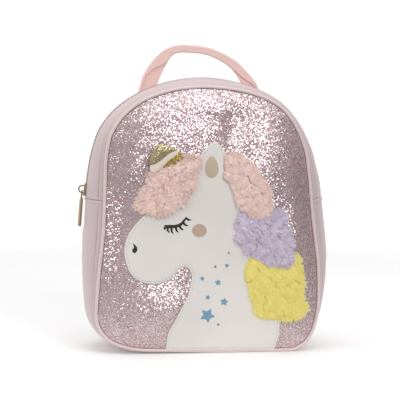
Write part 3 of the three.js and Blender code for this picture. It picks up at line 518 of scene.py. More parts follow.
def edge_distance(x, z, outline):
    nearest = np.full(x.shape, 1e9)
    inside = np.zeros(x.shape, bool)
    for a, b in zip(outline, np.roll(outline, -1, axis=0)):
        run = b - a
        t = ((x - a[0]) * run[0] + (z - a[1]) * run[1]) / max(run @ run, 1e-12)
        near = np.clip(t, 0, 1)
        nearest = np.minimum(nearest, np.hypot(x - a[0] - near * run[0], z - a[1] - near * run[1]))
        crosses = (a[1] > z) != (b[1] > z)
        rise = np.where(run[1] == 0, 1e-12, run[1])
        inside ^= crosses & (x < a[0] + (z - a[1]) / rise * run[0])
    return np.where(inside, nearest, -nearest)


def front_relief(x, z):
    reach = np.clip(edge_distance(x, z, seam_outline) / crown_reach, 0, 1)
    folds = 0
    for across, up, turn, length, width, height in fold_rows + crease_rows:
        turn = math.radians(turn)
        from_x, from_z = x - across * seam_half, z - seam_bottom - up * seam_height
        along = (from_x * math.cos(turn) + from_z * math.sin(turn)) / (length * seam_height / 2)
        aside = (from_z * math.cos(turn) - from_x * math.sin(turn)) / (width * seam_height)
        folds = folds + height * np.exp(-along ** 2 - aside ** 2)
    return crown_height * (1 - (1 - reach) ** 2 + folds * np.minimum(4 * reach, 1))


peak = front_relief(np.array([0.0]), np.array([0.13]))[0]
print("the front stands out by", round(1000 * peak, 1), "mm")


# %% [markdown]
# ## Working by hand, in code
# A piece starts as one of Blender's primitives and is then shaped in edit mode. These few
# helpers do what the hand does: clear the selection, read and move a mesh's points, turn the
# faces outwards and apply a modifier.

# %% Helpers
def deselect():
    if bpy.context.mode != "OBJECT":
        bpy.ops.object.mode_set(mode="OBJECT")
    bpy.ops.object.select_all(action="DESELECT")


def named(name):
    piece = bpy.context.active_object
    piece.name = piece.data.name = name
    return piece


def read_points(piece):
    points = np.empty(3 * len(piece.data.vertices))
    piece.data.vertices.foreach_get("co", points)
    return points.reshape(-1, 3)


def write_points(piece, points):
    piece.data.vertices.foreach_set("co", np.ascontiguousarray(points, float).ravel())
    piece.data.update()


def write_map(piece, along, across):
    layer = piece.data.uv_layers.active or piece.data.uv_layers.new(name="along")
    layer.name = "along"
    corner = np.empty(len(piece.data.loops), int)
    piece.data.loops.foreach_get("vertex_index", corner)
    layer.uv.foreach_set("vector", np.stack([along[corner], across[corner]], axis=1).ravel())


def edit(piece, *steps):
    deselect()
    bpy.context.view_layer.objects.active = piece
    piece.select_set(True)
    bpy.ops.object.mode_set(mode="EDIT")
    bpy.ops.mesh.select_all(action="SELECT")
    for step in steps:
        step()
    bpy.ops.object.mode_set(mode="OBJECT")


def merge_and_turn_out():
    bpy.ops.mesh.remove_doubles(threshold=1e-6)
    bpy.ops.mesh.normals_make_consistent(inside=False)


def apply_modifier(piece, kind, **settings):
    deselect()
    bpy.context.view_layer.objects.active = piece
    modifier = piece.modifiers.new(kind.title(), kind)
    for setting, value in settings.items():
        setattr(modifier, setting, value)
    bpy.ops.object.modifier_apply(modifier=modifier.name)


def finish_piece(piece, material, slot, *nodes, body="bag", smooth=50):
    piece.data.materials.clear()
    piece.data.materials.append(material)
    deselect()
    bpy.context.view_layer.objects.active = piece
    piece.select_set(True)
    bpy.ops.object.shade_smooth_by_angle(angle=math.radians(smooth))
    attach(piece, body)
    if nodes:
        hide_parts(*nodes)
    sides = [round(1000 * side) for side in piece.dimensions]
    print(piece.name, "has", len(piece.data.polygons), "faces and measures", sides, "mm")


# %% [markdown]
# ## The front panel
# The real front is one piece of glitter leather over thin foam, pulled into the seam, so it is
# softly crowned and has a few slack folds. A cloth simulation could blow it up, but the folds
# sit where the photograph has them, so a grid is drawn out to the seam and every point is
# moved out by the relief. A wall is added behind it with Solidify.

# %% Sheets on the seam
def grid_sheet(name, columns, rows, place):
    deselect()
    bpy.ops.mesh.primitive_grid_add(x_subdivisions=columns, y_subdivisions=rows, size=2)
    piece = named(name)
    flat = read_points(piece)
    points, along, across = place(flat[:, 0], flat[:, 1])
    write_points(piece, points)
    write_map(piece, along, across)
    return piece


bag_middle = np.array((0, 0, seam_bottom + seam_height / 2))


def give_wall(piece, thickness):
    faces = piece.data.polygons
    normals, middles = np.empty(3 * len(faces)), np.empty(3 * len(faces))
    faces.foreach_get("normal", normals)
    faces.foreach_get("center", middles)
    if (normals.reshape(-1, 3) * (middles.reshape(-1, 3) - bag_middle)).sum() < 0:
        edit(piece, bpy.ops.mesh.flip_normals)
    apply_modifier(piece, "SOLIDIFY", thickness=thickness, offset=-1)


def square_to_seam(u, v, offset=0.0):
    ring = np.maximum(np.abs(u), np.abs(v))
    size = np.maximum(ring, 1e-9)
    turn = np.where(np.abs(v) >= np.abs(u),
                    np.where(v < 0, u / size / 8, 0.5 - u / size / 8),
                    np.where(u > 0, 0.25 + v / size / 8, 0.75 - v / size / 8))
    edge_x, edge_z = on_loop(2 * np.mod(turn, 1), offset)
    return edge_x * ring, bag_middle[2] + (edge_z - bag_middle[2]) * ring


def lay_front(u, v):
    x, z = square_to_seam(u, v)
    return np.stack([x, front_y - front_relief(x, z), z], axis=1), x, z


front_panel = grid_sheet("front_panel_leather", 120, 120, lay_front)
give_wall(front_panel, front_wall)
finish_piece(front_panel, silver_pink_glitter, "glitter_leather", "front_panel")

# %% [markdown]
# ## The gusset and the back
# One band of smooth leather runs round the base and up both sides to the ends of the zip, and
# two strips run on over the top beside the zip. They swell between the seams, and at each seam
# the leather turns in against the piping. The swell is a table along the seam and a rounded
# bow across it, with shallow slack creases added where the leather is pushed together.

# %% Bands of the gusset
turn_in, groove_inset = 0.0016, 0.0066
crease_seed = np.random.default_rng(7)
band_creases = np.stack([
    crease_seed.uniform(-0.6, 2.6, 46), crease_seed.uniform(-0.04, 0.04, 46),
    crease_seed.uniform(0.006, 0.02, 46), crease_seed.uniform(0.05, 0.16, 46),
    crease_seed.uniform(-1, 1, 46), crease_seed.uniform(-0.9, 0.9, 46)], axis=1)


def slack(place, y):
    height = 0
    for where, level, wide, long, turn, deep in band_creases:
        away = (place - where) * seam_length
        along = away * math.cos(turn) + (y - level) * math.sin(turn)
        aside = (y - level) * math.cos(turn) - away * math.sin(turn)
        height = height + deep * np.exp(-(along / (0.5 * long)) ** 2 - (aside / (0.5 * wide)) ** 2)
    return 0.0006 * height


def band(name, start, end, from_y, to_y, columns, rows, rolled, hem=0.0):
    def place_band(u, v):
        place = start + (end - start) * (0.5 + 0.075 * u + 0.425 * np.sin(math.pi * u / 2))
        y = from_y + (to_y - from_y) * (v + 1) / 2
        edge = np.minimum(np.abs(y - rolled[0]), np.abs(y - rolled[1]))
        inward = turn_in * np.exp(-(edge / 0.0014) ** 2)
        groove = 0.0009 * np.exp(-((edge - groove_inset) / 0.0009) ** 2)
        lift = np.minimum(edge / 0.008, 1) * slack(place, y)
        to_end = np.minimum(place - start, end - place) * seam_length
        lift = lift + hem * (np.exp(-((to_end - 0.0021) / 0.0013) ** 2)
                             - np.exp(-(to_end / 0.0008) ** 2))
        flat_base = np.minimum(np.abs(place) / 0.2, 1) ** 4
        x, z = on_loop(place, gusset_offset(place, y) - inward - groove + lift * flat_base)
        return np.stack([x, y, z], axis=1), place * seam_length, y

    piece = grid_sheet(name, columns, rows, place_band)
    give_wall(piece, gusset_wall)
    return piece


end_gap = sewn_gap / (2 * seam_length)
seams_y = (gusset_front, gusset_back)
tape_edge = tape_width / 2 + sewn_gap
lower = band("gusset_lower_leather", end_gap - zip_end, zip_end - end_gap,
             gusset_front, gusset_back, 300, 70, seams_y, 0.0009)
finish_piece(lower, pink_leather, "pink_leather", "gusset_lower")
for name, from_y, to_y, seam_y in (("front", gusset_front, zip_y - tape_edge, gusset_front),
                                   ("back", zip_y + tape_edge, gusset_back, gusset_back)):
    strip = band(f"gusset_upper_{name}_leather", zip_end + end_gap, 2 - zip_end - end_gap,
                 from_y, to_y, 200, 30, (seam_y, seam_y))
    finish_piece(strip, pink_leather, "pink_leather", f"gusset_upper_{name}")


# %% Padded back
rib_pitch, groove_depth, groove_half_width, frame_inset = 0.038, 0.0016, 0.0022, 0.014


def lay_back(u, v):
    x, z = square_to_seam(u, v)
    inside = edge_distance(x, z, seam_outline)
    ridge = np.abs(np.mod((z - seam_bottom) / rib_pitch - 0.15 * (x / seam_half) ** 2, 1) - 0.5)
    channel = groove_depth * np.exp(-((0.5 - ridge) * rib_pitch / groove_half_width) ** 2)
    channel = channel * np.clip((inside - 0.016) / 0.004, 0, 1)
    frame_groove = groove_depth * np.exp(-((inside - frame_inset) / groove_half_width) ** 2)
    sunk = 0.001 * np.exp(-(inside / 0.003) ** 2)
    y = back_y - np.maximum(channel, frame_groove) - sunk
    return np.stack([x, y, z], axis=1), x, z


back_panel = grid_sheet("back_panel_leather", 150, 150, lay_back)
give_wall(back_panel, back_wall)
finish_piece(back_panel, pink_leather, "pink_leather", "back_panel")


# %% [markdown]
# ## Piping
# A cord wrapped in a strip of leather is caught in the front and back seams. It could be a
# curve with a bevel, but a tube made from a grid carries a map along it, which the puckers of
# the wrapped leather need.

# %% Piping round both seams
def tube(name, columns, rows, place):
    piece = grid_sheet(name, columns, rows, place)
    edit(piece, merge_and_turn_out)
    return piece


def piping(name, centre_y):
    def place_cord(u, v):
        place, angle = u + 1, math.pi * (v + 1)
        pucker = 1 + 0.02 * np.sin(place * 260) + 0.03 * np.sin(place * 97 + 1)
        out = sewn_gap + piping_radius * (1 + pucker * np.cos(angle) * 0.985)
        x, z = on_loop(place, out)
        y = centre_y + piping_radius * pucker * 0.985 * np.sin(angle)
        return np.stack([x, y, z], axis=1), place * seam_length, piping_radius * angle
    return tube(name, 520, 20, place_cord)


# The cord takes the lighter pink, which paints its highlight.
for name, centre_y in (("front", front_y - piping_proud + piping_radius),
                       ("back", back_y - piping_radius)):
    finish_piece(piping(f"piping_{name}_cord", centre_y), highlit_pink_piping, "pink_leather",
                 f"piping_{name}", smooth=80)


# %% [markdown]
# ## The zip
# A woven tape carries two rows of nylon coil that lock into each other over the top of the bag.
# One tooth is a bent loop. It is modelled once as a short arch and copied along the tape on
# both sides, each row half a tooth on from the other, and all copies are joined in one mesh.

# %% Small things repeated along a line
def joined_copies(name, pattern, faces, frames):
    points = np.concatenate([origin + pattern @ axes for origin, axes in frames])
    count = len(pattern)
    every = [tuple(i + count * copy for i in face)
             for copy in range(len(frames)) for face in faces]
    mesh = bpy.data.meshes.new(name)
    mesh.from_pydata(points.tolist(), [], every)
    piece = bpy.data.objects.new(name, mesh)
    bpy.context.scene.collection.objects.link(piece)
    bpy.context.view_layer.objects.active = piece
    return piece


rod_sides = 6


def rod_pattern(rings):  # x, y, z, half thickness in y and in z
    points, faces, sides = [], [], rod_sides
    for x, y, z, thick_y, thick_z in rings:
        for side in range(sides):
            angle = 2 * math.pi * side / sides
            points.append((x, y + thick_y * math.cos(angle), z + thick_z * math.sin(angle)))
    for ring in range(len(rings) - 1):
        for side in range(sides):
            a, b = ring * sides + side, ring * sides + (side + 1) % sides
            faces.append((a, b, b + sides, a + sides))
    faces.append(tuple(range(sides))[::-1])
    faces.append(tuple(range(len(points) - sides, len(points))))
    return np.array(points), faces


tape_inset, tape_thickness = 0.0008, 0.0012


def tape_offset(place):
    return gusset_offset(place, zip_y) - tape_inset


def lay_tape(u, v):
    place = zip_end + end_gap + (2 - 2 * zip_end - 2 * end_gap) * (u + 1) / 2
    across = v * tape_width / 2
    x, z = on_loop(place, tape_offset(place))
    return np.stack([x, zip_y + across, z], axis=1), place * seam_length, across


tape = grid_sheet("zip_tape_cloth", 200, 12, lay_tape)
give_wall(tape, tape_thickness)
finish_piece(tape, zip_tape, "zip_tape", "zipper")

# %% Coil teeth
tooth_pitch = 0.0015
tooth_count = int((2 - 2 * zip_end) * seam_length / tooth_pitch)
tooth_places = zip_end + end_gap + (np.arange(tooth_count) + 0.5) * tooth_pitch / seam_length
tooth, tooth_faces = rod_pattern([
    (0, -0.0024, 0.0003, 0.0003, 0.0003), (0, -0.0020, 0.0009, 0.0004, 0.00035),
    (0, -0.0006, 0.0012, 0.0004, 0.0004), (0, 0.0007, 0.0011, 0.0004, 0.00045),
    (0, 0.0009, 0.0005, 0.0003, 0.0003)])
tooth_frames = []
for row in (-1, 1):
    for place in tooth_places + (row > 0) * tooth_pitch / 2 / seam_length:
        x, z = on_loop(place, tape_offset(place))
        out_x, out_z = np.array(on_loop(place, 0.001)) - np.array(on_loop(place, 0))
        out = np.array((out_x, 0, out_z)) / math.hypot(out_x, out_z)
        across = np.array((0.0, row, 0))
        run = np.cross(across, out)
        tooth_frames.append((np.array((x, zip_y, z)), np.stack([run, across, out])))
coil = joined_copies("zip_coil", tooth, tooth_faces, tooth_frames)
edit(coil, lambda: bpy.ops.mesh.normals_make_consistent(inside=False))
finish_piece(coil, nylon_coil, "zip_tape")


# %% [markdown]
# ## Cut leather on the front
# The unicorn, its inner ear, cheek and lashes and the little stars are cut or printed flat and
# follow the front's relief. Each starts as a filled circle whose points go to the outline; it is
# cut across by a fine grid of lines, so that it can bend, and then laid on the relief.

# %% Outlines
def rows_to_points(rows):
    rows = np.array(rows, float)
    return np.stack([rows[:, 0] * seam_half, seam_bottom + rows[:, 1] * seam_height], axis=1)


def smooth_outline(stretches, spacing=0.002):
    paths = [rows_to_points(stretch) for stretch in stretches]
    smooth = [spline(path, 12)[:-1] if len(path) > 2 else path[:1] for path in paths]
    return even_outline(np.concatenate(smooth), spacing)


def spline(points, steps):
    padded = np.concatenate([[2 * points[0] - points[1]], points, [2 * points[-1] - points[-2]]])
    made = []
    for a, b, c, d in zip(padded, padded[1:], padded[2:], padded[3:]):
        t = np.linspace(0, 1, steps, endpoint=False)[:, None]
        made.append(0.5 * (2 * b + (c - a) * t + (2 * a - 5 * b + 4 * c - d) * t ** 2
                           + (3 * b - a - 3 * c + d) * t ** 3))
    return np.concatenate(made + [points[-1:]])


def even_outline(outline, spacing):
    closed = np.concatenate([outline, outline[:1]])
    gone = length_along(closed)
    at = np.linspace(0, gone[-1], max(12, int(gone[-1] / spacing)), endpoint=False)
    return np.stack(read_columns(at, gone, closed), axis=1)


head_rows = [  # stretches between corners, each of places across and up the front
    [(0.046, 0.805), (-0.049, 0.773), (-0.094, 0.736), (-0.159, 0.652)],
    [(-0.159, 0.652), (-0.419, 0.553)],
    [(-0.419, 0.553), (-0.584, 0.529)],
    [(-0.584, 0.529), (-0.682, 0.483), (-0.745, 0.441), (-0.774, 0.383), (-0.738, 0.315),
     (-0.658, 0.277), (-0.514, 0.261), (-0.386, 0.275), (-0.303, 0.303), (-0.23, 0.326),
     (-0.171, 0.302), (-0.175, 0.26), (-0.212, 0.206), (-0.276, 0.156), (-0.339, 0.103),
     (-0.383, 0.063), (-0.396, 0)],
    [(-0.396, 0), (0.607, -0.007)],
    [(0.607, -0.007), (0.631, 0.029), (0.645, 0.06), (0.647, 0.086), (0.642, 0.167)],
    [(0.642, 0.167), (0.445, 0.32)],
    [(0.445, 0.32), (0.335, 0.501)],
    [(0.335, 0.501), (0.3, 0.571), (0.24, 0.637), (0.185, 0.655), (0.137, 0.667)],
    [(0.137, 0.667), (0.146, 0.686), (0.151, 0.713), (0.152, 0.747), (0.129, 0.77),
     (0.092, 0.789), (0.046, 0.805)],
]
head_outline = smooth_outline(head_rows)
print("the head's outline has", len(head_outline), "points")


# %% Cutting a piece and laying it on the front
def cut_flat(name, outline, step):
    deselect()
    bpy.ops.mesh.primitive_circle_add(vertices=len(outline), radius=1, fill_type="NGON")
    piece = named(name)
    write_points(piece, np.stack([outline[:, 0], 0 * outline[:, 0], outline[:, 1]], axis=1))
    low, high = outline.min(axis=0), outline.max(axis=0)

    def triangulate():
        bpy.ops.mesh.quads_convert_to_tris(quad_method="BEAUTY", ngon_method="BEAUTY")

    def cut_across():
        for axis, normal in ((0, (1, 0, 0)), (1, (0, 0, 1))):
            for level in np.arange(low[axis] + step / 2, high[axis], step):
                bpy.ops.mesh.select_all(action="SELECT")
                where = (level, 0, 0) if axis == 0 else (0, 0, level)
                bpy.ops.mesh.bisect(plane_co=where, plane_no=normal)

    edit(piece, triangulate, cut_across)
    return piece


def lay_on_front(piece, outline, under, thickness, soft_edge=0.0, crown=0.0):
    points = read_points(piece)
    x, z = points[:, 0], points[:, 2]
    inside = np.clip(edge_distance(x, z, outline), 0, None)
    height = under + thickness
    if soft_edge:
        height = height - 0.4 * thickness * np.exp(-(inside / soft_edge) ** 2)
    if crown:
        height = height + crown * (1 - np.exp(-(inside / 0.006) ** 2))
    y = front_y - front_relief(x, z) - height
    write_points(piece, np.stack([x, y, z], axis=1))
    write_map(piece, x, z)
    give_wall(piece, thickness)


cut_step, head_thickness, head_soft_edge = 0.004, 0.0016, 0.0012
head = cut_flat("unicorn_head_leather", head_outline, cut_step)
lay_on_front(head, head_outline, sewn_gap, head_thickness, head_soft_edge)
finish_piece(head, cream_leather, "cream_leather", "unicorn_head")


# %% Printed shapes
def egg(across, up, half_across, half_up, narrow=0.0, count=40):
    turn = np.linspace(0, 2 * math.pi, count, endpoint=False)
    wide = half_across * (1 - narrow * np.sin(turn))
    return rows_to_points(np.stack([across + wide * np.cos(turn), up + half_up * np.sin(turn)],
                                   axis=1))


head_top, print_thickness = sewn_gap + head_thickness, 0.00015


def printed(name, outline, material):
    piece = cut_flat(name, outline, cut_step)
    lay_on_front(piece, outline, head_top, print_thickness)
    finish_piece(piece, material, "cream_leather")


printed("ear_print", egg(0.015, 0.706, 0.0605, 0.0415, 0.22), ear_inner)
printed("cheek_print", egg(-0.098, 0.464, 0.0664, 0.0255), beige_print)
nostril_rows = [(-0.7, 0.417), (-0.678, 0.41), (-0.66, 0.4), (-0.661, 0.388),
                (-0.681, 0.378), (-0.702, 0.383), (-0.705, 0.392), (-0.688, 0.401)]
printed("nostril_print", rows_to_points(nostril_rows), dark_print)

# %% Lashes
lash_top = rows_to_points([(-0.417, 0.486), (-0.365, 0.487), (-0.319, 0.487), (-0.274, 0.493),
                           (-0.246, 0.505), (-0.219, 0.517)])
lid = spline(lash_top, 6)
lid_side = np.gradient(lid, axis=0)
lid_side = unit(np.stack([lid_side[:, 1], -lid_side[:, 0]], axis=1))
lid_width = 0.0031 * (1 - 0.6 * np.linspace(0, 1, len(lid)) ** 3)[:, None]
printed("lash_line_print", np.concatenate([lid, (lid + lid_side * lid_width)[::-1]]), dark_print)
lash_rows = [  # across and up of the root, across and up of the tip
    (-0.412, 0.479, -0.408, 0.468), (-0.386, 0.479, -0.372, 0.457),
    (-0.353, 0.479, -0.335, 0.453), (-0.313, 0.479, -0.288, 0.458),
    (-0.278, 0.482, -0.243, 0.467), (-0.246, 0.495, -0.202, 0.483),
    (-0.224, 0.513, -0.174, 0.505),
]
for number, (root_across, root_up, tip_across, tip_up) in enumerate(lash_rows, 1):
    root, tip = rows_to_points([(root_across, root_up), (tip_across, tip_up)])
    run = tip - root
    side = np.array((run[1], -run[0])) / np.linalg.norm(run)
    sag = 0.12 * np.linalg.norm(run) * -np.abs(side)
    hair = [root + 0.0012 * side, root + 0.6 * run + 0.0011 * side + sag, tip + 0.0005 * side,
            tip - 0.0005 * side, root + 0.6 * run - 0.0008 * side + sag, root - 0.0012 * side]
    printed(f"lash_{number}_print", np.array(hair), dark_print)


# %% Stars
star_points, star_waist = 5, 0.52


def star(across, up, radius, turn):
    corner = np.arange(2 * star_points)
    angle = math.radians(turn) + corner * math.pi / star_points
    size = radius * seam_half * np.where(corner % 2, star_waist, 1)
    centre = rows_to_points([(across, up)])[0]
    corners = centre + size[:, None] * np.stack([np.cos(angle), np.sin(angle)], axis=1)
    return even_outline(corners, 0.0007)


star_rows = [  # across, up, radius, turn in degrees, ink
    (-0.023, 0.137, 0.0728, 62, blue_print), (0.129, 0.189, 0.0409, 80, blue_print),
    (0.073, 0.264, 0.0318, 100, blue_print), (-0.021, 0.208, 0.0255, 75, blue_print),
    (-0.071, 0.28, 0.0246, 95, blue_print), (0.153, 0.329, 0.0227, 70, blue_print),
    (0.047, 0.325, 0.0155, 90, grey_print),
]
for number, (across, up, radius, turn, ink) in enumerate(star_rows, 1):
    printed(f"star_{number}_print", star(across, up, radius, turn), ink)
printed("dot_1_print", egg(0.171, 0.377, 0.01, 0.0042, 0, 12), grey_print)
printed("dot_2_print", egg(0.079, 0.1, 0.0118, 0.005, 0, 12), grey_print)

# %% [markdown]
# ## The horn
# The horn is a cone of gold glitter cloth that has been folded over: its tip lies back on its
# root, and the cream lip of its lining shows along the fold. Three leaves stand for it, each
# laid on the last, and the flap is crowned because it is stuffed.

# %% Horn leaves
horn_root = rows_to_points([(-0.293, 0.769), (-0.275, 0.766), (-0.257, 0.754), (-0.238, 0.741),
                            (-0.241, 0.73), (-0.275, 0.722), (-0.32, 0.715), (-0.365, 0.708),
                            (-0.41, 0.704), (-0.437, 0.705), (-0.419, 0.722), (-0.365, 0.745),
                            (-0.32, 0.76)])
horn_lip = rows_to_points([(-0.321, 0.772), (-0.277, 0.768), (-0.321, 0.749), (-0.384, 0.73),
                           (-0.429, 0.711), (-0.474, 0.694), (-0.51, 0.685), (-0.537, 0.689),
                           (-0.548, 0.702), (-0.544, 0.719), (-0.492, 0.728), (-0.447, 0.741),
                           (-0.393, 0.76), (-0.357, 0.769)])
horn_flap = rows_to_points([(-0.483, 0.791), (-0.456, 0.794), (-0.411, 0.791), (-0.348, 0.783),
                            (-0.294, 0.774), (-0.358, 0.764), (-0.403, 0.751), (-0.448, 0.734),
                            (-0.493, 0.722), (-0.538, 0.714), (-0.552, 0.723), (-0.552, 0.734),
                            (-0.539, 0.753), (-0.519, 0.772), (-0.501, 0.783)])
# The root leaf lies under the folded flap and takes the darker gold copy, painted shade.
for name, outline, material, under, thickness, crown, nodes in (  # in metres
        ("horn_root_glitter", horn_root, shaded_gold_glitter, 0.0030, 0.0016, 0.0010, ("horn",)),
        ("horn_lip_leather", horn_lip, lip_leather, 0.0052, 0.0012, 0.0012, ()),
        ("horn_flap_glitter", horn_flap, gold_glitter, 0.0062, 0.0014, 0.0022, ())):
    outline = even_outline(outline, 0.001)
    leaf = cut_flat(name, outline, 0.002)
    lay_on_front(leaf, outline, under, thickness, 0.001, crown)
    finish_piece(leaf, material, "gold_glitter", *nodes)

# %% [markdown]
# ## Fur
# The mane and the forelock are patches of short plush. A particle system grows hair, but the
# hair has to be turned into a mesh in the end, so each hair is made directly: a thin ribbon
# that tapers from its root, bends over and leans to the tip of its tuft. Tufts make the
# shallow furrows, ruffle says how far wisps stand apart, and fringe how far hairs reach out.
# A lumpy backing under the hairs keeps the leather from showing through.

# %% Outlines of the plush
forelock_rows = [
    (-0.244, 0.747), (-0.167, 0.749), (-0.086, 0.745), (-0.081, 0.722), (-0.09, 0.699),
    (-0.118, 0.684), (-0.127, 0.665), (-0.122, 0.642), (-0.154, 0.618), (-0.204, 0.608),
    (-0.208, 0.589), (-0.204, 0.574), (-0.249, 0.561), (-0.29, 0.548), (-0.349, 0.535),
    (-0.412, 0.524), (-0.475, 0.52), (-0.538, 0.524), (-0.592, 0.532), (-0.636, 0.543),
    (-0.68, 0.554), (-0.667, 0.575), (-0.64, 0.598), (-0.618, 0.619), (-0.578, 0.636),
    (-0.564, 0.658), (-0.551, 0.685), (-0.457, 0.711), (-0.348, 0.73)]
upper_rows = [
    (0.148, 0.759), (0.244, 0.763), (0.29, 0.755), (0.317, 0.738), (0.362, 0.726),
    (0.417, 0.709), (0.449, 0.694), (0.454, 0.671), (0.491, 0.652), (0.528, 0.64),
    (0.556, 0.617), (0.561, 0.59), (0.565, 0.567), (0.57, 0.541), (0.561, 0.529),
    (0.528, 0.522), (0.482, 0.512), (0.417, 0.513), (0.353, 0.523), (0.325, 0.534),
    (0.279, 0.544), (0.252, 0.561), (0.233, 0.584), (0.22, 0.607), (0.202, 0.634),
    (0.179, 0.649), (0.133, 0.668), (0.147, 0.695), (0.143, 0.714)]
lilac_rows = [
    (0.275, 0.519), (0.279, 0.538), (0.362, 0.53), (0.472, 0.526), (0.575, 0.529),
    (0.613, 0.536), (0.67, 0.538), (0.689, 0.524), (0.709, 0.497), (0.719, 0.47),
    (0.728, 0.439), (0.757, 0.412), (0.747, 0.385), (0.757, 0.354), (0.747, 0.327),
    (0.689, 0.322), (0.594, 0.324), (0.529, 0.33), (0.473, 0.342), (0.418, 0.36),
    (0.363, 0.373), (0.298, 0.385), (0.326, 0.393), (0.28, 0.408), (0.238, 0.426),
    (0.243, 0.439), (0.252, 0.462), (0.238, 0.485), (0.252, 0.5)]
yellow_rows = [
    (0.529, 0.338), (0.642, 0.331), (0.737, 0.335), (0.767, 0.362), (0.806, 0.361),
    (0.825, 0.349), (0.835, 0.326), (0.849, 0.298), (0.859, 0.275), (0.864, 0.248),
    (0.854, 0.229), (0.859, 0.202), (0.874, 0.178), (0.908, 0.162), (0.904, 0.146),
    (0.865, 0.139), (0.836, 0.122), (0.787, 0.117), (0.691, 0.119), (0.626, 0.124),
    (0.551, 0.126), (0.478, 0.129), (0.44, 0.137), (0.421, 0.157), (0.406, 0.184),
    (0.382, 0.208), (0.368, 0.235), (0.349, 0.262), (0.34, 0.293), (0.344, 0.32),
    (0.363, 0.343), (0.381, 0.358), (0.455, 0.35)]
fur_patches = {  # outline, lean in degrees, height of the backing, ruffle, fringe, finish, slot
    "forelock_fur": (forelock_rows, -38, 0.0021, 0.8, 1, peach_fur, "peach_fur"),
    "mane_upper_fur": (upper_rows, 48, 0.0027, 0.55, 0.6, peach_fur, "peach_fur"),
    "mane_middle_fur": (lilac_rows, 34, 0.0019, 0.8, 1.1, lilac_fur, "lilac_fur"),
    "mane_lower_fur": (yellow_rows, 22, 0.0012, 0.35, 1.6, yellow_fur, "yellow_fur"),
}
hair_per_area, tuft_area, wisp_area = 14e6, 36e-6, 3.4e-6
hair_length, hair_half_width = 0.0074, 0.00016
print("patches of plush:", len(fur_patches))


# %% Patches of plush
def scatter(outline, area_each, random):
    low, high = outline.min(axis=0), outline.max(axis=0)
    tried = random.uniform(low, high, (int(np.prod(high - low) / area_each), 2))
    return tried[edge_distance(*tried.T, outline) > 0]


def nearest_of(points, centres):
    best = np.full(len(points), 1e9)
    index = np.zeros(len(points), int)
    for number, centre in enumerate(centres):
        far = ((points - centre) ** 2).sum(axis=1)
        closer = far < best
        best[closer], index[closer] = far[closer], number
    return index


def write_levels(piece, **levels):
    for attribute, values in levels.items():
        layer = piece.data.attributes.new(attribute, "FLOAT", "POINT")
        values = np.broadcast_to(np.clip(values, 0, 1), (len(piece.data.vertices),))
        layer.data.foreach_set("value", np.ascontiguousarray(values, np.float32))


def lay_backing(name, outline, base):
    backing = cut_flat(name, outline, 0.003)
    points = read_points(backing)
    x, z = points[:, 0], points[:, 2]
    inside = np.clip(edge_distance(x, z, outline), 0, None)
    lumps = 0.0003 * np.sin(x * 620 + 2 * np.sin(z * 410)) * np.sin(z * 560 + x * 150)
    height = base + 0.0020 + lumps - 0.0014 * np.exp(-(inside / 0.003) ** 2)
    write_points(backing, np.stack([x, front_y - front_relief(x, z) - height, z], axis=1))
    give_wall(backing, backing_wall)
    # The backing takes a tone near the darker root colour: painted shade under the hairs.
    write_levels(backing, tone=0.3, fade=0.0)
    return backing


